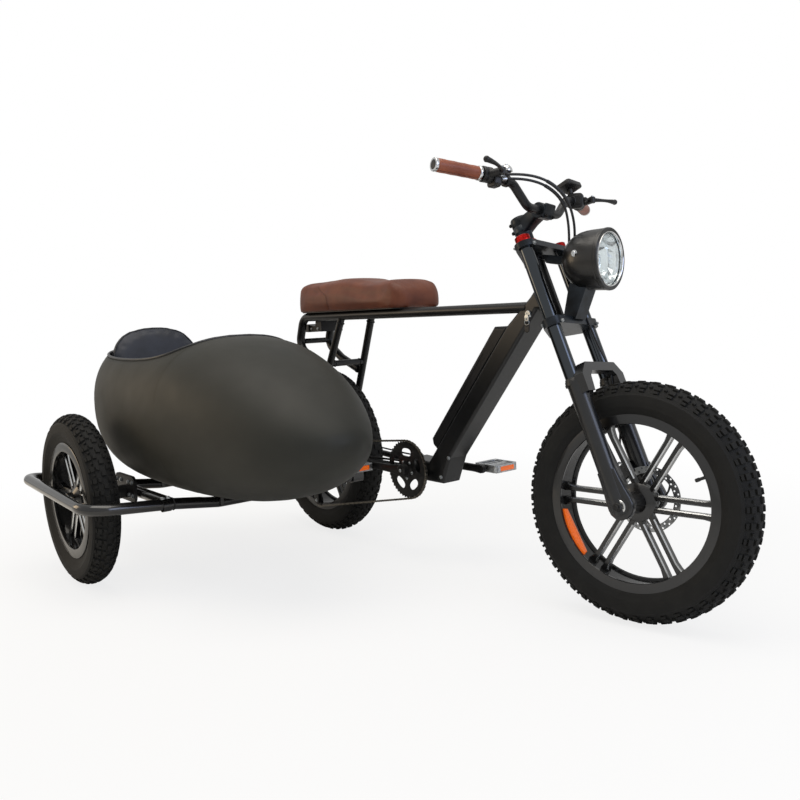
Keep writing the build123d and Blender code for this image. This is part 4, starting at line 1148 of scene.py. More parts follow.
for word, side in (("right", -1), ("left", 1)):
    tip = on_bar(BAR_TIP[0], side * BAR_TIP[1], BAR_TIP[2])
    along = (on_bar(BAR_BEND[0], side * BAR_BEND[1], BAR_BEND[2]) - tip).normalized()
    spot = FORK @ facing(tip, along, (0, 0, 1))
    sleeve = [(BAR_BORE, 1), (14.8, 1), (15.6, 3)] + [(15.7 + 0.25 * math.sin(k * 1.3), 8 + 6 * k)
                                                      for k in range(17)]
    sleeve += [(15.6, 110), (14.8, 112.5), (BAR_BORE, 112.5)]
    grip = put("grip_leather_" + word, turned(sleeve, 40), spot, "steering", "grip_leather", grip_leather,
               sharp=50)
    ring = [(BAR_BORE, -7), (15.2, -7), (15.9, -6), (15.9, -1.5), (15.2, 0.8), (BAR_BORE, 0.8)]
    inner = [(BAR_BORE, 112.5), (16.2, 112.5), (17.0, 114), (17.0, 119), (16.2, 120.5), (BAR_BORE, 120.5)]
    rings = put("grip_rings_" + word, joined(turned(ring, 40), turned(inner, 40)), spot, "steering",
                "black_alloy", polished_alloy, sharp=30)
    plug = put("grip_plug_" + word,
               turned([(0, -8), (8, -8), (10, -7.4), (11.4, -6.4), (11.4, 0), (0, 0)], 32), spot,
               "steering", "black_plastic", moulded_black, sharp=30)
    for piece in (grip, rings, plug):
        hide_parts("grips")
    seam = [spot @ Vector((-15.9 * math.cos(0.5), 3 + 2.1 * k, -15.9 * math.sin(0.5))) for k in range(52)]
    rolled("grip_seam_" + word, seam, 0.5, "steering", seam_thread)

    # The perch is clamped to the bar, and the lever turns on its pivot.
    clamp = [(BAR_BORE, 0), (17.5, 0), (18.8, 1.5), (18.8, 10), (17.8, 11.5), (17.8, 14.5), (18.8, 16),
             (18.8, 24.5), (17.5, 26), (BAR_BORE, 26)]
    parts = [lathed(clamp, 36, tip + along * 124, along, (1, 0, 0))]
    perch = tip + along * 137
    pivot = perch + Vector((44, -side * 2, 4))
    end = pivot + Vector((20, side * 92, 6))
    parts.append(pipe([perch + Vector((10, 0, 0)), perch + Vector((22, 0, 1)), perch + Vector((36, 0, 3)),
                       pivot + Vector((3, 0, 0))], lambda t: 10.5 - 2.5 * t, 16))
    parts.append(lathed([(0, -8), (7.5, -8), (8.5, -7), (8.5, 7), (7.5, 8), (0, 8)], 24, pivot, (0, 0, 1)))
    barrel = perch + Vector((30, -side * 12, 2))
    parts.append(lathed([(0, 0), (5.5, 0), (5.5, 3), (4.6, 3.5), (4.6, 14), (5.4, 14.5), (5.4, 18),
                         (3.6, 20), (0, 20)], 12, barrel, (0.45, -side, 0.1)))
    if side < 0:
        knurl = [(BAR_BORE, 26)] + [(15.2 + 0.7 * (k % 2), 26 + k * 0.9)
                                    for k in range(16)] + [(BAR_BORE, 40)]
        parts.append(lathed(knurl, 36, tip + along * 124, along, (1, 0, 0)))
        pod = moved(stamped([rounded(34, 26, 8)], 20, 3),
                    facing(perch + along * 20 + Vector((4, 0, -14)), along, (1, 0, 0)) @ STAND)
        parts.append(pod)
        parts.append(pipe([perch + along * 18 + Vector((10, 0, -20)),
                           perch + along * 10 + Vector((24, 4, -23)),
                           perch - along * 4 + Vector((30, 6, -24))], lambda t: 4 - t, 10))
    else:
        box_place = facing(perch + along * 46, along, (1, 0, 0)) @ STAND
        parts.append(moved(stamped([rounded(42, 40, 9)], 23, 3), box_place))
        parts.append(moved(stamped([rounded(30, 26, 5)], 26, 2),
                           box_place @ Matrix.Translation((2, -2, 0))))
    control = put("lever_perch_" + word, joined(*parts), *ON_FORK, "black_plastic", moulded_black, sharp=35)
    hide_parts("controls_" + word)
    blade = [pivot + (end - pivot) * t + Vector((7 * math.sin(math.pi * t), 0, 0))
             for t in [k / 12 for k in range(13)]]
    lever = joined(pipe(blade, lambda t: 6.4 - 2.2 * math.sin(math.pi * min(1, t * 1.15)), 14),
                   lathed([(0, -7.5), (4, -6.6), (6.6, -3.6), (7.6, 0), (6.6, 3.6), (4, 6.6), (0, 7.5)],
                          20, end, end - pivot))
    lever_piece = put("brake_lever_" + word, lever, *ON_FORK, "black_alloy", worn_black, sharp=50)
    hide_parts("controls_" + word)
    bolts("lever_bolts_" + word, [(pivot + Vector((0, 0, 8)), (0, 0, 1)),
                                  (perch + Vector((-17, side * 5, 2)), (-1, 0, 0))], 3.2, 4, *ON_FORK,
          "black_alloy", zinc_plate, False)

# %% [markdown]
# The display is a tilted screen in a moulded bezel with three rubber keys. More keys sit beside
# the left grip.

# %% Display and buttons
tilt = facing(on_bar(14, 168, 86) + Vector((-0.45, 0, 0.9)).normalized() * 7, (-0.45, 0, 0.9), (0, 1, 0))
flat = tilt @ FACE_UP
stalk = joined(moved(stamped([rounded(73, 45, 9)], 13.6, 2.6), flat),
               lathed([(BAR_BORE, -7.5), (14, -7.5), (15, -6.5), (15, 6.5), (14, 7.5), (BAR_BORE, 7.5)],
                      32, on_bar(19.4, 168, 52.5), (-2.8, 16, 1)),
               pipe([on_bar(19, 168, 62), on_bar(17, 168, 72), on_bar(14, 168, 84)],
                    lambda t: 7.5 - 2 * math.sin(math.pi * t), 14))
bezel = put("display_case", stalk, *ON_FORK, "black_plastic", moulded_black, sharp=35)
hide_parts("controls_left")
put("display_screen", moved(stamped([rounded(46, 33, 3)], 1.0, 0.3),
                            flat @ Matrix.Translation((-9, 0, 6.9))), *ON_FORK, "lamp_glass", screen_glass,
    sharp=35)
keys = [moved(stamped([rounded(9, 7, 2.5)], 2.4, 0.8), flat @ Matrix.Translation((25, y, 7.2)))
        for y in (-11, 0, 11)]
left_perch = on_bar(*BAR_TIP) + (on_bar(*BAR_BEND) - on_bar(*BAR_TIP)).normalized() * 183
for k in range(3):
    keys.append(lathed([(0, 0), (4.2, 0), (4.2, 3), (3.2, 4), (0, 4)], 20,
                       left_perch + Vector((-20, 0, 11 - 11 * k)), (-1, 0, 0)))
put("rubber_keys", joined(*keys), *ON_FORK, "cable_rubber", hose_rubber, sharp=40)

# %% [markdown]
# The bell is a spun and polished dome on a black base, with a spring striker.

# %% Bell
bell_foot = on_bar(22, -152, 74)
dome = [(0, 16), (4, 15.6), (8, 14), (11.5, 11.2), (14, 7.6), (15.5, 3.5), (15.9, 0), (15.2, -0.4),
        (14.6, 0.6), (13, 6), (10.5, 9.8), (7, 12.4), (3, 13.8), (0, 14)]
screw = moved(bolt(2.6, 3, False), facing(bell_foot + Vector((0, 0, 15.5)), (0, 0, 1)))
dome_piece = put("bell_dome", joined(lathed(dome, 40, bell_foot, (0, 0, 1)), screw), *ON_FORK,
                 "black_alloy", polished_alloy, sharp=50)
band = lathed([(BAR_BORE, -5), (13.6, -5), (14.5, -4), (14.5, 4), (13.6, 5), (BAR_BORE, 5)], 32,
              on_bar(22.1, -152, 51.4), (1.7, 10, -0.6))
post = lathed([(0, -12), (8, -12), (9, -10), (9, -4), (12, -2.5), (12, 0), (0, 0)], 28, bell_foot, (0, 0, 1))
striker = pipe([bell_foot + Vector(way) for way in ((-9, 6, -3), (-16, 10, 0), (-19, 11, 6), (-17, 10, 9))],
               lambda t: 1.6 + 2.4 * t * t, 10)
base_piece = put("bell_base", joined(band, post, striker), *ON_FORK, "black_alloy", moulded_black, sharp=40)
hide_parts("bell")
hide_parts("bell")

# %% [markdown]
# The headlight is a deep pressed bowl with a turned rim. Inside, an aluminised bowl in flat
# facets throws the light forward round a small projector. A domed clear glass closes it, held by
# a thin chrome ring. The bowl hangs on two side bolts.

# %% Headlight
LAMP = HEAD + Vector((221, 0, -35.3))
lamp_place = facing(LAMP, (1, 0, 0), (0, 0, 1))
bowl = [(0, -119), (6, -118.9), (12, -118), (22, -115.4), (34, -110.5), (46, -102.5), (56, -92.5),
        (64, -80), (69, -67), (71.6, -53), (72.8, -38), (73.4, -20), (73.8, -9), (73, -8), (73, -6),
        (74.6, -5), (75, -2), (74.6, 1.5), (73, 3), (68, 3.2), (66.2, 2), (65.6, -3), (64.5, -9),
        (64.5, -12), (66, -37), (62, -65), (48, -89), (28, -105), (8, -113), (0, -113)]
shell = put("lamp_bowl", moved(turned(bowl, 72), lamp_place), *ON_FORK, "lamp_paint", lamp_enamel, sharp=40)
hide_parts("headlight_shell")
FACETS = 24
facets = []
for k, (r, y) in enumerate([(12, -66), (22, -62), (32, -55), (42, -45), (51, -32), (58, -17), (63, -9)]):
    angles = [2 * math.pi * (j + 0.5 * (k % 2)) / FACETS for j in range(FACETS)]
    facets.append([(r * math.cos(a), y, r * math.sin(a)) for a in angles])
back_facets = [[(x * 1.02, y - 2.0, z * 1.02) for x, y, z in ring] for ring in facets]
mirror_bowl = skin(facets + back_facets[::-1], (False, False), round_trip=True)
reflector = put("lamp_reflector", moved(mirror_bowl, lamp_place), *ON_FORK, "lamp_chrome", aluminised,
                sharp=1)
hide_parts("headlight_reflector")
core = [turned([(0, -72), (16, -72), (19, -60), (19, -36), (17, -33), (15, -33), (14, -36), (0, -36)], 36)]
for k in range(6):
    a = math.radians(60 * k)
    core.append(moved(turned([(0, -37), (3.5, -37), (3.2, -33), (0, -32)], 14),
                      Matrix.Translation((8 * math.cos(a), 0, 8 * math.sin(a)))))
put("lamp_projector", moved(joined(*core), lamp_place), *ON_FORK, "lamp_chrome", aluminised, sharp=30)
glass = [(0, 2.6), (20, 2.0), (40, 0.2), (55, -2.4), (62.5, -4.6), (64, -6.4), (64, -8.6), (60, -7.6),
         (40, -3.4), (20, -1.4), (0, -0.8)]
lens = put("lamp_glass", moved(turned(glass, 72), lamp_place), *ON_FORK, "lamp_glass", lamp_glass, sharp=60)
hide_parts("headlight_lens")
put("lamp_ring",
    moved(turned([(62.6, -3), (65.4, -3), (66, -1), (66, 3), (64.8, 4.2), (63.2, 3.4), (62.2, 0)], 72),
          lamp_place), *ON_FORK, "lamp_chrome", polished_alloy, sharp=50)
side_bolts = [(LAMP + Vector((-56, side * 70.2, 10)), (0, side, 0)) for side in (-1, 1)]
bolts("lamp_side_bolts", side_bolts, 5.4, 6, *ON_FORK, "lamp_chrome", polished_alloy, False)
lugs = [lathed([(0, -3), (9.5, -3), (9.5, 1.6), (8, 2.2), (0, 2.2)], 28, point - Vector(way) * 1.5, way)
        for point, way in side_bolts]
put("lamp_side_seats", joined(*lugs), *ON_FORK, "lamp_paint", lamp_enamel, sharp=35)

# %% [markdown]
# Two sleeved cables leave the right perch, loop ahead of the bar and enter the back of the lamp.
# They repeat the routes of the CAD's tubes as smooth splines.

# %% Cables
THROTTLE_ROUTE = [(1014, -196, 1046), (1062, -140, 1056), (1104, -60, 1020), (1112, -14, 950),
                  (1106, -8, 905)]
BRAKE_ROUTE = [(1014, -188, 1038), (1056, -134, 1046), (1094, -56, 1012), (1100, -24, 950),
               (1098, -20, 902)]
ROUTES = {"throttle_cable": THROTTLE_ROUTE, "brake_cable": BRAKE_ROUTE}
CABLE_R = 3.2
for name, route in ROUTES.items():
    line = cable(name, route, CABLE_R, *ON_FORK, "cable_rubber", hose_rubber)
    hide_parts("cables")
    bare = line.data.copy()
    bare.bevel_depth = 0
    probe = bpy.data.objects.new("probe", bare)
    bpy.context.collection.objects.link(probe)
    measured = bpy.data.meshes.new_from_object(probe.evaluated_get(bpy.context.evaluated_depsgraph_get()))
    walk = [v.co.copy() for v in measured.vertices]
    print(name, "is", round(sum((b - a).length for a, b in zip(walk, walk[1:])), 4), "m long")
    sleeve_points = walk[len(walk) // 3: len(walk) // 2 + 4]
    sleeve = put(name + "_sleeve", pipe([p * 1000 for p in sleeve_points], 4.3, 14), MM, "steering",
                 "cable_rubber", moulded_black)
    ferrule = facing(walk[0] * 1000, walk[1] - walk[0])
    end_cap = put(name + "_ferrule",
                  moved(turned([(0, -2), (4.6, -2), (4.6, 8), (4, 9.5), (0, 9.5)], 16), ferrule), MM,
                  "steering", "black_alloy", zinc_plate, sharp=35)
    bpy.data.objects.remove(probe)

# %% [markdown]
# The stem is forged: a split collar on the steerer, a short body and a bar clamp with a bolted
# face plate. Under it sits a red anodised spacer with fine knurling.

# %% Stem and spacer
# Up and fore along the steering axis
RAKE = math.radians(23.5)
UP = Vector((-math.sin(RAKE), 0, math.cos(RAKE)))
FORE = Vector((math.cos(RAKE), 0, math.sin(RAKE)))
steer_up = facing(HEAD, UP, FORE)
collar = [(15, 25), (20, 25), (20, 44), (22, 50), (24, 52), (24, 66), (23, 67.5), (23, 68.5), (24, 70),
          (24, 89), (22.5, 92), (15, 92)]
clamp_spot = facing(on_bar(34, 0, 0), (0, 1, 0), (0, 0, 1))
clamp = [(BAR_BORE, -25), (18.5, -25), (20, -23.5), (20, 23.5), (18.5, 25), (BAR_BORE, 25)]
neck_rings = []
for t, wide, tall in ((0, 21, 24), (0.3, 20, 21), (0.6, 21, 18), (1, 24, 17)):
    middle = (HEAD + UP * 66 + Vector((6, 0, 2))) * (1 - t) + on_bar(22, 0, -1) * t
    neck_rings.append([tuple(middle + Vector((0, 1, 0)) * y + Vector((-0.35, 0, 0.94)) * z)
                       for y, z in rounded(2 * wide, 2 * tall, 9)])
plate = moved(stamped([rounded(47, 38, 6)], 7, 1.5),
              facing(on_bar(50.5, 0, -2), (0.96, 0, -0.28), (0, 1, 0)) @ FACE_UP)
stem_piece = put("forged_stem",
                 joined(moved(turned(collar, 48), steer_up), moved(turned(clamp, 48), clamp_spot),
                        skin(neck_rings), plate), *ON_FORK, "crown_alloy", crown_anodised, sharp=35)
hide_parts("stem")
bolts("stem_bolts", [(on_bar(54, y, z - 2), (0.96, 0, -0.28)) for y in (-16, 16) for z in (-13, 13)]
      + [(HEAD + UP * h - FORE * 23 + Vector((0, y, 0)), (0, y, 0)) for h in (60, 82) for y in (-11, 11)]
      + [(HEAD + UP * 92, UP)], 3.4, 4, *ON_FORK, "crown_alloy", worn_black, False)
spacer = [(15, -8)] + [(24.3 - 0.5 * (k % 2), -7.6 + k * 0.8) for k in range(40)] + [(15, 24.6)]
spacer_piece = put("red_spacer", moved(turned(spacer, 48), steer_up), *ON_FORK, "red_alloy", red_anodised,
                   sharp=30)
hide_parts("headset_ring")

# %% [markdown]
# A suspension fork has bright stanchions that slide into cast legs. Where they meet there is a
# rubber wiper. On the crowns there are pinch bolts and red knurled caps, and at the foot a flared
# dropout holds the axle. The brake hose runs down inside the left leg to a two piston caliper.

# %% Fork details
AXLE_DROP, AXLE_AHEAD = 682, 43
STANCHION_AHEAD, LEG_Y = 35, 86.5
LEG_TOP_DROP = 375
DROPOUT_Y = 88
AXLE = HEAD - UP * AXLE_DROP + FORE * AXLE_AHEAD
pieces, seals, pinches, caps = [], [], [], []
for side in (-1, 1):
    stanchion = HEAD + FORE * STANCHION_AHEAD + Vector((0, side * LEG_Y, 0))
    dropout = AXLE + Vector((0, side * DROPOUT_Y, 0))
    seals.append(lathed([(17.3, -8), (22.6, -8), (22.6, -3), (21, -1), (21, 3), (19.4, 5), (18.4, 9),
                         (17.3, 9)], 40, stanchion - UP * LEG_TOP_DROP, UP))
    knurl = [(19 - 0.5 * (k % 2), k * 0.8) for k in range(15)]
    caps.append(lathed([(0, -3), (18.5, -3)] + knurl
                       + [(17.5, 12.6), (9, 12.6), (9, 14.5), (7.5, 15.5), (0, 15.5)], 32,
                       stanchion - UP * 3, UP))
    for drop in (15.5, 222):
        pinches.append((stanchion - UP * drop + FORE * -18 + Vector((0, side * 16, 0)),
                        Vector((0, side, 0)) - FORE * 0.6))
        pinches.append((stanchion - UP * (drop + 5) + FORE * 25.5, FORE))
    rings = []
    for reach, ahead, above in ((23.5, 0, 86), (25, 0, 60), (28, 1, 34), (31, 2, 14), (32, 2, 0),
                                (30, 1, -12), (22, 0, -24), (10, 0, -31)):
        middle = dropout + UP * above + FORE * ahead * 0.3 - FORE * (4 * above / 86 if above > 0 else 0)
        rings.append([tuple(middle + FORE * x + Vector((0, y, 0))) for x, y in rounded(2 * reach, 26, 9)])
    pieces.append(skin(rings))
    pieces.append(lathed([(6.5, -13), (16, -13), (18, -11), (18, 13.5), (16, 15), (6.5, 15)], 40, dropout,
                         (0, side, 0)))
put("dropout_flares", joined(*pieces), *ON_FORK, "fork_paint", fork_enamel, sharp=40)
put("leg_wipers", joined(*seals), *ON_FORK, "cable_rubber", hose_rubber, sharp=40)
put("stanchion_caps", joined(*caps), *ON_FORK, "red_alloy", red_anodised, sharp=30)
bolts("pinch_bolts", pinches, 3.4, 5, *ON_FORK, "stanchion_chrome", zinc_plate, False)
WASHER = [(6.2, 0), (15.4, 0), (16.4, 1), (16.4, 3), (15.4, 4), (6.2, 4)]
AXLE_NUT = [(0, 4), (10.8, 4), (10.8, 11), (9.6, 12.5), (6, 12.5), (6, 15), (5, 16), (0, 16)]
axle_ends = [(AXLE + Vector((0, side * 101, 0)), (0, side, 0)) for side in (-1, 1)]
put("axle_washers", joined(*[lathed(WASHER, 40, *end) for end in axle_ends]), *ON_FORK,
    "stanchion_chrome", polished_alloy, sharp=30)
put("axle_nuts", joined(*[lathed(AXLE_NUT, 6, *end) for end in axle_ends]), *ON_FORK,
    "black_alloy", worn_black, sharp=25)

# %% Front caliper and hose
caliper = AXLE + Vector((-62, 66, 62))
caliper_turn = facing(caliper, (0, 1, 0), (1, 0, 1)) @ STAND
halves = []
for wide, tall, radius, thick, spot in ((42, 35, 9, 15, (0, 0, -9)), (42, 35, 9, 11, (0, 0, 10)),
                                        (18, 30, 6, 31, (13, 0, 0))):
    halves.append(moved(stamped([rounded(wide, tall, radius)], thick, 2.5),
                        caliper_turn @ Matrix.Translation(spot)))
put("caliper_body", joined(*halves), *ON_FORK, "fork_paint", fork_enamel, sharp=35)
bolts("caliper_bolts", [(caliper + Vector((x, 17, x)), (0, 1, 0)) for x in (-10, 10)]
      + [(caliper + Vector((-18, y, 16)), (-0.7, 0, 0.7)) for y in (-6, 8)], 3.4, 4, *ON_FORK,
      "stanchion_chrome", zinc_plate)
hose = [HEAD + FORE * ahead + Vector((0, y, 0)) - UP * drop
        for ahead, y, drop in ((46, 30, 12), (60, 34, 90), (62, 40, 210), (60, 52, 300), (66, 62, 360),
                               (30, 72, 440))]
hose += [AXLE + Vector((-86, 74, 190)), AXLE + Vector((-86, 70, 120)), caliper + Vector((-14, 4, 22))]
put("front_brake_hose", pipe(hose_line(hose), 2.6, 10), *ON_FORK,
    "cable_rubber", hose_rubber, sharp=60)

# %% [markdown]
# A disc rotor is laser cut from stainless sheet: a ring pierced with two staggered rows of holes,
# carried on curved arms from a small bolted centre.

# %% Brake discs
def polar(r, a):
    """The flat point at a radius and an angle."""
    return r * math.cos(a), r * math.sin(a)


def rotor(name, node, place, body, y, radius, bore):
    """A brake disc at a place along the axle, with its six bolts."""
    holes = []
    for first, inset in ((0, 5), (1, 12)):
        holes += [circle(2.4, 12, polar(radius - inset, math.radians(7.5 * k)))
                  for k in range(first, 48, 2)]
    inner = radius - 17
    edge = []
    for k in range(144):
        a = 2 * math.pi * k / 144
        edge.append(polar(radius - 0.9 * (0.5 + 0.5 * math.cos(8 * a)), a))
    shapes = [stamped([edge, circle(inner, 72)] + holes, 2.0),
              stamped([circle(bore + 16, 48), circle(bore, 32)], 2.0)]
    for k in range(6):
        left, right = [], []
        for j in range(9):
            t = j / 8
            r, a = (bore + 13) * (1 - t) + (inner + 3) * t, math.radians(60 * k + 38 * t)
            wide = 4.2 - 1.4 * math.sin(math.pi * j / 8)
            left.append(polar(r, a + wide / r))
            right.append(polar(r, a - wide / r))
        shapes.append(stamped([left + right[::-1]], 1.9))
    disc = put(name, moved(joined(*shapes), Matrix.Translation((0, y, 0)) @ STAND), place, body,
               "disc_steel", disc_steel, sharp=30)
    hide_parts(node)
    spots = []
    for k in range(6):
        x, z = polar(bore + 9, math.radians(60 * k + 30))
        spots.append((Vector((x, y + 1, z)), (0, 1, 0)))
    bolts(name + "_bolts", spots, 2.6, 3.2, place, body, "disc_steel", zinc_plate, False)


rotor("front_rotor", "front_disc", *ON_FRONT, 56, 80, 12)
rotor("rear_rotor", "rear_disc", *ON_REAR, 60, 80, 14)

# %% [markdown]
# Small things on the wheels: a rubber valve stem with its cap through each barrel, the orange
# reflector clipped between two bars, and the bright bearing rings at the hub ends.

# %% Wheel fittings
def valve(name, place, body, seat, degrees_up):
    """A valve stem with its cap, pointing inward from the barrel."""
    a = math.radians(degrees_up)
    out = Vector((math.cos(a), 0, math.sin(a)))
    stem = [(0, 0), (6.5, 0), (6.5, 3), (4.2, 6), (3.6, 20), (3.6, 24), (4.4, 24.5), (4.4, 33), (3.2, 35),
            (0, 35)]
    put(name, lathed(stem, 16, out * (seat - 13) + Vector((0, -14, 0)), -out + Vector((0, -0.25, 0))),
        place, body, "tyre_rubber", hose_rubber, sharp=40)


valve("front_valve", *ON_FRONT, 203, 25)
valve("rear_valve", *ON_REAR, 203, 100)
valve("sidecar_valve", *ON_SIDE, 160, -80)
arc = [polar(186, math.radians(229 - 2 * k)) for k in range(20)]
(x1, z1), (x2, z2) = [polar(176, math.radians(degrees)) for degrees in (191.5, 228.5)]
chord = [(x1 * (1 - t) + x2 * t, z1 * (1 - t) + z2 * t) for t in [k / 8 for k in range(9)]]
plate = moved(stamped([arc + chord], 9, 1.5), Matrix.Translation((0, -28, 0)) @ STAND)
# The reflector's acrylic carries the painted glow.
reflector = put("orange_reflector", plate, *ON_FRONT, "orange_plastic", orange_prism_painted_glow, sharp=35)
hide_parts("wheel_reflector")
ends = [(9, 55), (17.5, 55), (17.5, 57), (16.5, 58), (9, 58)]
put("front_bearing_rings", joined(turned([(r, -y) for r, y in ends], 40), turned(ends, 40)), *ON_FRONT,
    "rim_paint", polished_alloy, sharp=30)
put("sidecar_bearing_rings", joined(turned([(r + 3, -y + 17) for r, y in ends], 40),
                                    turned([(r + 3, y - 17) for r, y in ends], 40)), *ON_SIDE, "rim_paint",
    polished_alloy, sharp=30)
lines = []
for side in (-1, 1):
    for degrees in range(0, 360, 15):
        turn = Matrix.Rotation(-math.radians(degrees), 4, "Y")
        lines.append(moved(stamped([rounded(34, 3.4, 1.6)], 3, 0.8),
                           turn @ Matrix.Translation((67, side * 42.4, 0)) @ STAND))
put("motor_ribs", joined(*lines), *ON_REAR, "rim_paint", wheel_paint, sharp=35)

# %% [markdown]
# The drive is drawn link by link. The chain's centre line is the outer hull of three circles, and
# alternate links carry their plates outside or inside, with rollers between. Ring and sprocket
# get teeth at the same pitch.

# %% Chain
PITCH = 12.7
CHAIN_Y = -64
# Each row: x, z and pitch radius of the chainring, the sprocket and the tension wheel
WHEELS = [(516.0, 282.0, 87.5), (0.0, 285.0, 34.5), (26.0, 118.0, 22.0)]


def hull_path(circles):
    """The loop that a taut belt takes round circles given anticlockwise, as closely spaced points."""
    touch = []
    for (x1, z1, r1), (x2, z2, r2) in zip(circles, circles[1:] + circles[:1]):
        reach = math.hypot(x2 - x1, z2 - z1)
        touch.append(math.atan2(z2 - z1, x2 - x1) - math.acos((r1 - r2) / reach))
    points = []
    for i, (x, z, r) in enumerate(circles):
        first = touch[i - 1]
        sweep = (touch[i] - first) % (2 * math.pi)
        steps = max(2, int(r * sweep / 2))
        points += [(x + r * math.cos(first + sweep * k / steps),
                    z + r * math.sin(first + sweep * k / steps)) for k in range(steps + 1)]
    return points


def even_steps(loop, count):
    """Points at equal steps round a closed line."""
    loop = loop + [loop[0]]
    lengths = [0.0]
    for a, b in zip(loop, loop[1:]):
        lengths.append(lengths[-1] + math.hypot(b[0] - a[0], b[1] - a[1]))
    result = []
    i = 0
    for k in range(count):
        want = lengths[-1] * k / count
        while lengths[i + 1] < want:
            i += 1
        t = (want - lengths[i]) / max(lengths[i + 1] - lengths[i], 1e-9)
        result.append((loop[i][0] + (loop[i + 1][0] - loop[i][0]) * t,
                       loop[i][1] + (loop[i + 1][1] - loop[i][1]) * t))
    return result


chain_line = hull_path(WHEELS)
chain_length = sum(math.hypot(b[0] - a[0], b[1] - a[1])
                   for a, b in zip(chain_line, chain_line[1:] + chain_line[:1]))
links = int(chain_length / PITCH / 2) * 2
pins = even_steps(chain_line, links)
shapes = []
for k, (x, z) in enumerate(pins):
    nx, nz = pins[(k + 1) % links]
    span = math.hypot(nx - x, nz - z)
    turn = math.atan2(nz - z, nx - x)
    outline = []
    for centre, first in ((0, 90), (span, -90)):
        for j in range(6):
            a = math.radians(first + 36 * j)
            u, v = polar(3.1, a)
            outline.append((centre + u, v))
    outline.insert(6, (span / 2, -2.2))
    outline.append((span / 2, 2.2))
    gap = 3.0 if k % 2 else 2.0
    for side in (-1, 1):
        near, far = side * gap - 0.45, side * gap + 0.45
        rings = [[(x + u * math.cos(turn) - v * math.sin(turn), CHAIN_Y + y,
                   z + u * math.sin(turn) + v * math.cos(turn)) for u, v in outline] for y in (near, far)]
        shapes.append(skin(rings))
    rings = [[(x + 2.6 * math.cos(2 * math.pi * j / 8), CHAIN_Y + y,
               z + 2.6 * math.sin(2 * math.pi * j / 8)) for j in range(8)] for y in (-3.5, 3.5)]
    shapes.append(skin(rings))
chain_piece = put("roller_chain", joined(*shapes), *ON_BIKE, "chain_steel", chain_steel, sharp=35)
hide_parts("chain")
print("chain", round(chain_length), "mm in", links, "links")


def toothed(teeth, tip, root, steps=6):
    """A sprocket's outline with round gullets."""
    points = []
    for k in range(teeth * steps):
        a = 2 * math.pi * k / (teeth * steps)
        wave = 0.5 + 0.5 * math.cos(teeth * a)
        points.append(polar(root + (tip - root) * wave ** 1.5, a))
    return points


sprocket = joined(moved(stamped([toothed(17, 35, 30.5), circle(12, 32)], 2.4),
                        Matrix.Translation((0, CHAIN_Y, 0)) @ STAND),
                  turned([(7, -65), (22, -65), (22.5, -62), (22, -50), (7, -50)], 40))
sprocket_piece = put("rear_cog", sprocket, *ON_REAR, "chain_steel", chain_steel, sharp=30)
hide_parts("rear_sprocket")

# %% [markdown]
# The crankset is a stamped ring with five oval windows, bolted to forged arms that swell at their
# bosses. The pedals are cast cages on a round bearing, with orange reflectors on both edges.

# %% Crankset
BB = Matrix.Translation((516, 0, 282))
CRANK = 170
PEDAL_Y = 142
ovals = []
for k in range(5):
    a = math.radians(90 + 72 * k)
    middle = polar(52, a)
    oval = []
    for j in range(28):
        b = 2 * math.pi * j / 28
        u = 21.5 * math.copysign(abs(math.cos(b)) ** 0.8, math.cos(b))
        v = 12.5 * math.copysign(abs(math.sin(b)) ** 0.8, math.sin(b))
        oval.append((middle[0] - u * math.sin(a) + v * math.cos(a),
                     middle[1] + u * math.cos(a) + v * math.sin(a)))
    ovals.append(oval)
ring = moved(stamped([toothed(44, 88, 83.5)] + ovals + [circle(13, 32)], 3, 0.4),
             Matrix.Translation((0, CHAIN_Y, 0)) @ STAND)
boss = turned([(0, -90.5), (14, -90.5), (17.5, -88), (17.5, -70), (26, -66.5), (26, -61), (12, -60),
               (12, 60), (17.5, 72), (17.5, 88), (14, 90.5), (0, 90.5)], 40)
shapes = [ring, boss]
for side in (-1, 1):
    rings = []
    for t, wide, thick in ((0, 17, 13), (0.1, 17, 13), (0.2, 13.5, 12.5), (0.5, 11.5, 12),
                           (0.85, 11.5, 12), (0.95, 13, 13), (1.04, 12, 13), (1.07, 8, 12)):
        x = side * CRANK * t
        rings.append([(x, side * 82 + y, z) for z, y in rounded(2 * wide, thick, 4)])
    shapes.append(skin(rings))
    shapes.append(lathed([(0, 0), (12.5, 0), (12.5, 14), (0, 14)], 32, (side * CRANK, side * 75, 0),
                         (0, side, 0)))
    shapes.append(lathed([(0, 0), (5.8, 0), (5.8, 86), (4.5, 87.5), (0, 87.5)], 24,
                         (side * CRANK, side * 88, 0), (0, side, 0)))
crank_piece = put("forged_crankset", joined(*shapes), BIKE @ BB, "crank", "crank_steel", crank_black,
                  sharp=35)
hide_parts("crankset")
spots = [(Vector((0, side * 90, 0)), (0, side, 0)) for side in (-1, 1)]
for k in range(5):
    x, z = polar(26, math.radians(54 + 72 * k))
    spots.append((Vector((x, -65.5, z)), (0, -1, 0)))
bolts("crank_bolts", spots, 4, 3.5, BIKE @ BB, "crank", "crank_steel", zinc_plate, False)
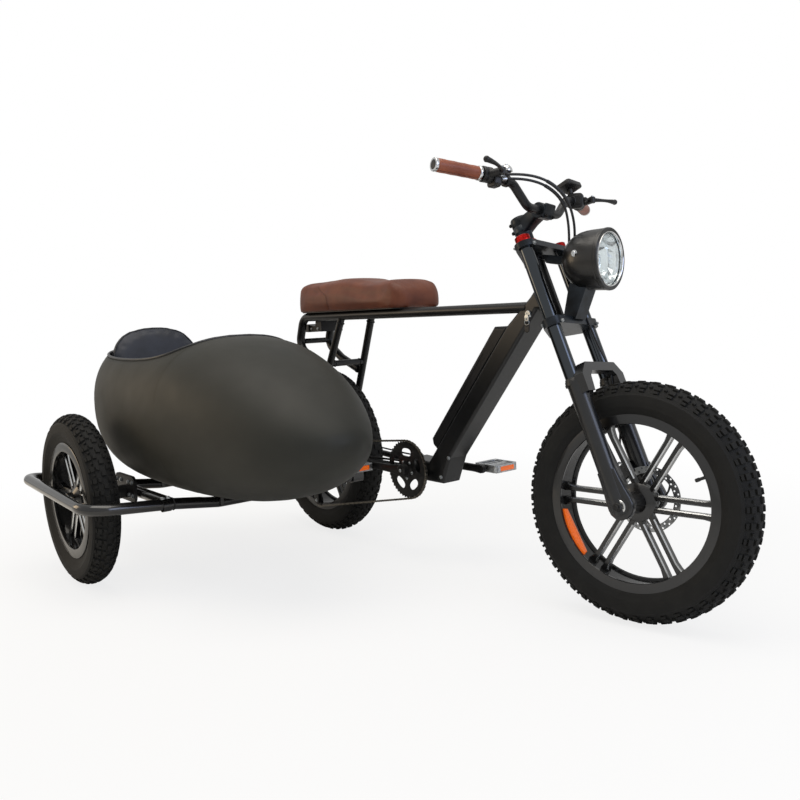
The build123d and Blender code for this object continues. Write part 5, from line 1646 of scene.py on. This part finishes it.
# %% Pedals
for word, side in (("right", -1), ("left", 1)):
    spot = BIKE @ BB @ Matrix.Translation((side * CRANK, side * PEDAL_Y, 0))
    body = [turned([(6.3, -44), (11, -44), (12, -42), (9.5, -20), (9.5, 20), (12, 42), (11, 44),
                    (6.3, 44)], 28)]
    body.append(stamped([rounded(95, 91, 12), rounded(78, 74, 8)], 23, 2))
    for x in (-20, 20):
        body.append(moved(stamped([rounded(5, 80, 1)], 18, 1), Matrix.Translation((x, 0, 0))))
    teeth_up = []
    for x in [-42 + 12 * k for k in range(8)]:
        for y in (-41.5, 41.5):
            for z in (-1, 1):
                teeth_up.append(lathed([(0, 0), (2.2, 0), (1.6, 1.8), (0, 1.8)], 8, (x, y, z * 10.2),
                                       (0, 0, z)))
    cage_piece = put("pedal_cage_" + word, joined(*body), spot, "pedal_" + word, "pedal_alloy",
                     cast_aluminium, sharp=35)
    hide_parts("pedal_" + word)
    put("pedal_pins_" + word, joined(*teeth_up), spot, "pedal_" + word, "pedal_alloy", zinc_plate, sharp=35)
    lenses = [moved(stamped([rounded(56, 14, 3)], 3, 0.8),
                    Matrix.Translation((x, 0, 0)) @ Matrix.Rotation(math.radians(90), 4, "Z") @ STAND)
              for x in (-46.5, 46.5)]
    # These reflectors carry the same painted glow.
    put("pedal_reflectors_" + word, joined(*lenses), spot, "pedal_" + word, "orange_plastic", orange_prism_painted_glow,
        sharp=35)

# %% [markdown]
# The battery is a moulded case with two raised ribs on each side. A plated lock holds it in the down
# tube, and its key hangs there on a ring with a small black fob.

# %% Battery, lock and key
SLOPE = Vector((0.6436, 0, 0.7653))
low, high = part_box("battery_case")
case_mid = BIKE.inverted() @ ((Vector(low) + Vector(high)) / 2)
shapes = []
for side in (-1, 1):
    for off, long_mm, wide in ((-4, 292, 5), (16, 250, 2.4)):
        spot = Vector((case_mid.x, side * 35.2, case_mid.z)) + Vector((-SLOPE.z, 0, SLOPE.x)) * off
        shapes.append(moved(stamped([rounded(long_mm, wide, wide / 2 - 0.1)], 1.6, 0.5),
                            facing(spot, (0, side, 0), SLOPE) @ STAND))
put("battery_ribs", joined(*shapes), *ON_BIKE, "battery_plastic", battery_shell, sharp=35)
LOCK = Vector((1000, -38, 733))
lock_barrel = lathed([(0, 0), (9, 0), (9, 4.5), (7.8, 6), (4.4, 6), (4.0, 5.2), (0, 5.2)], 36, LOCK,
                     (0, -1, 0))
keyway = moved(stamped([rounded(7.5, 1.6, 0.6)], 1, 0.2),
               facing(LOCK + Vector((0, -5.4, 0)), (0, -1, 0)) @ STAND)
blade = moved(stamped([[(-4.4, 0), (4.4, 0), (7.2, -5), (7.2, -13), (3.4, -17), (-3.4, -17), (-7.2, -13),
                        (-7.2, -5)], circle(2.4, 16, (0, -12))], 2.2, 0.4),
              Matrix.Translation(LOCK + Vector((0, -8.6, -1))) @ STAND)
turns = [2 * math.pi * k / 24 for k in range(25)]
loop = [LOCK + Vector((0, -8.6, -20)) + Vector((7.5 * math.sin(a), 0, 7.5 * math.cos(a))) for a in turns]
key_piece = put("lock_and_key", joined(lock_barrel, keyway, blade, pipe(loop, 0.9, 8)), *ON_BIKE,
                "key_steel", zinc_plate, sharp=35)
fob = moved(stamped([rounded(15, 21, 5), circle(2.2, 16, (0, 7))], 2.6, 0.6),
            Matrix.Translation(LOCK + Vector((0, -8.4, -36))) @ STAND)
fob_piece = put("key_fob", fob, *ON_BIKE, "black_plastic", moulded_black, sharp=35)
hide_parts("battery_key")
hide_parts("battery_key")

# %% [markdown]
# The frame is welded up from tube, so its main joints get a row of beads in the same coat as the
# tube, and the bolted ones get plated heads. Two ribbed cups hold the steering bearings.

# %% Welds and frame bolts
RAIL_Z = 749.987
joints_welded = []
for side in (-1, 1):
    top, foot = Vector((206, side * 61, RAIL_Z - 8)), Vector((14, side * 84, 312))
    way = (foot - top).normalized()
    joints_welded.append((top + way * 16, way, 12.6, 2.0))
    cross = top + (foot - top) * 0.345
    joints_welded.append((Vector((cross.x, side * 50, cross.z)), (0, side, 0), 10.4, 1.7))
    joints_welded.append((Vector((-46, side * 46.5, RAIL_Z - 82)), (0, side, 0), 9.4, 1.6))
    joints_welded.append((Vector((112, side * 66, RAIL_Z - 182)), (0.9, 0, -0.36), 14.2, 1.8))
    joints_welded.append((Vector((66, side * 73, 286)), (1, 0, 0), 10.6, 1.8))
    joints_welded.append((Vector((480, side * 40.5, 282)), (1, 0, 0), 10.6, 1.8))
weld("frame_welds", joints_welded)
ribs = [lathed([(24.6, 0), (27.4, 0.6), (27.4, 4.4), (24.6, 5)], 48, HEAD - UP * d, UP)
        for d in (31, 38, 198, 205)]
put("head_tube_cups", joined(*ribs), *ON_BIKE, "frame_paint", powder_coat, sharp=30)
bolts("frame_bolts", [(Vector((x, -38.2, z)), (0, -1, 0)) for x, z in ((640, 270), (560, 262), (676, 330))]
      + [(Vector((x, side * 78.2, z)), (0, side, 0)) for side in (-1, 1)
         for x, z in ((44, 292), (20, 332))], 4, 4, *ON_BIKE, "zinc_steel", zinc_plate)

# %% [markdown]
# Behind the saddle a small bracket carries the tail lamp: a red lens in a black shell. The rear
# brake's caliper sits over its disc on the left.

# %% Tail lamp and rear caliper
tail = Vector((-64, 0, RAIL_Z - 38))
put("tail_lens", moved(stamped([rounded(54, 22, 8)], 8, 2.5), facing(tail, (-1, 0, 0), (0, 1, 0)) @ STAND),
    *ON_BIKE, "orange_plastic", red_lens, sharp=35)
put("tail_bezel", moved(stamped([rounded(60, 28, 10), rounded(53, 21, 7)], 7, 1.2),
                        facing(tail + Vector((2, 0, 0)), (-1, 0, 0), (0, 1, 0)) @ STAND), *ON_BIKE,
    "black_plastic", moulded_black, sharp=35)
bolts("tail_bolts", [(Vector((x, side * 44.2, RAIL_Z - 40)), (0, side, 0)) for side in (-1, 1)
                     for x in (0, 40)], 3.6, 3.5, *ON_BIKE, "zinc_steel", zinc_plate)
rear_caliper = Vector((40, 66, 351))
turn = facing(rear_caliper, (0, 1, 0), (0.77, 0, 0.64)) @ STAND
put("rear_caliper", joined(moved(stamped([rounded(44, 36, 9)], 10, 2.5),
                                 turn @ Matrix.Translation((0, 0, 8.5))),
                           moved(stamped([rounded(20, 30, 6)], 25, 2.5),
                                 turn @ Matrix.Translation((14, 0, 0)))), *ON_BIKE, "black_alloy",
    fork_enamel, sharp=35)
bolts("rear_caliper_bolts", [(rear_caliper + Vector((x, 13, x * 0.8)), (0, 1, 0)) for x in (-10, 10)], 3.4,
      4, *ON_BIKE, "zinc_steel", zinc_plate)
run = [rear_caliper + Vector((14, 2, 14)), rear_caliper + Vector((40, 4, 20)), Vector((150, 73, 305)),
       Vector((260, 66, 302)), Vector((400, 48, 300)), Vector((470, 41, 306))]
put("rear_brake_hose", pipe(hose_line(run), 2.6, 10), *ON_BIKE,
    "cable_rubber", hose_rubber, sharp=60)
run = [Vector((4, -88, 300)), Vector((30, -84, 310)), Vector((110, -74, 300)), Vector((250, -66, 299)),
       Vector((400, -47, 299)), Vector((472, -41, 300))]
put("motor_lead", pipe(hose_line(run), 3.4, 10), *ON_BIKE,
    "cable_rubber", hose_rubber, sharp=60)
ties = [lathed([(10.6, -1.6), (12.2, -1.6), (12.2, 1.6), (10.6, 1.6)], 28, Vector((x, side * y, z)),
               (1, 0, 0)) for side in (-1, 1) for x, y, z in ((150, 70.3, 285.6), (300, 60, 284.5))]
put("cable_ties", joined(*ties), *ON_BIKE, "black_plastic", moulded_black, sharp=35)

# %% [markdown]
# The tension wheel and its cage keep the chain's lower run tight. The wheel is nylon, and the cage
# is two black steel cheeks.

# %% Chain tensioner
jockey = moved(stamped([toothed(11, 20.5, 16.5), circle(4.6, 20)], 4.2, 0.5),
               Matrix.Translation((26, CHAIN_Y, 118)) @ STAND)
put("tension_wheel", jockey, *ON_BIKE, "black_plastic", moulded_black, sharp=30)
cheek = []
for k in range(40):
    x, z = polar(13, 2 * math.pi * k / 40)
    cheek.append((x, z) if z < 0 else (x - 6, z + 84))
cheeks = [moved(stamped([cheek, circle(3, 16)], 1.8, 0.3), Matrix.Translation((26, y, 118)) @ STAND)
          for y in (-69, -75.5)]
put("tension_cage", joined(*cheeks), *ON_BIKE, "frame_paint", worn_black, sharp=30)
bolts("tension_bolts", [(Vector((26, -76.5, 118)), (0, -1, 0)), (Vector((20, -76.5, 202)), (0, -1, 0))], 4,
      3.6, *ON_BIKE, "zinc_steel", zinc_plate)

# %% [markdown]
# The wheel's guard slides into sleeves with through bolts, and the tub stands on four rubber blocks.
# The sidecar wheel turns on a stub axle, held by a washer and a nut.

# %% Sidecar fittings
GUARD_X = (-306, 262)
GUARD_Z = 250
sleeves = [lathed([(16.1, -13), (18.6, -12), (18.6, 12), (16.1, 13)], 40, (x, -720, GUARD_Z), (0, 1, 0))
           for x in GUARD_X]
put("guard_sleeves", joined(*sleeves), *ON_BIKE, "gloss_paint", gloss_enamel, sharp=30)
spots = [(Vector((x, y, GUARD_Z + 18.4)), (0, 0, 1)) for x in GUARD_X for y in (-712, -728)]
spots += [(Vector((x, -724.2, 262 + z)), (0, -1, 0)) for x in (-84, -56, 4, 32) for z in (-20, 20)]
bolts("guard_bolts", spots, 5, 5, *ON_BIKE, "zinc_steel", zinc_plate)
feet = [lathed([(0, -14), (15, -14), (17, -11), (17, -3), (15, 0), (0, 0)], 28, (x, y, z), (0, 0, 1))
        for x, z in ((-150, 268), (262, 266)) for y in (-560, -395)]
put("tub_mounts", joined(*feet), *ON_BIKE, "cable_rubber", hose_rubber, sharp=35)
weld("sidecar_welds", [(Vector((x, -700, GUARD_Z)), (0, 1, 0.02), 16.6, 1.9) for x in GUARD_X]
     + [(Vector((x, -700, GUARD_Z)), (1, 0, 0), 16.6, 1.9) for x in (-166, -134)])
nut = moved(joined(turned([(0, 38.5), (19, 38.5), (19, 41), (0, 41)], 36),
                   turned([(0, 41), (15, 41), (15, 49), (12.5, 49), (12, 46), (0, 46)], 6)),
            Matrix.Rotation(math.pi, 4, "X"))
put("sidecar_hub_nut", nut, BIKE @ Matrix.Translation((-26, -861, 250)), "frame", "zinc_steel", zinc_plate,
    sharp=25)
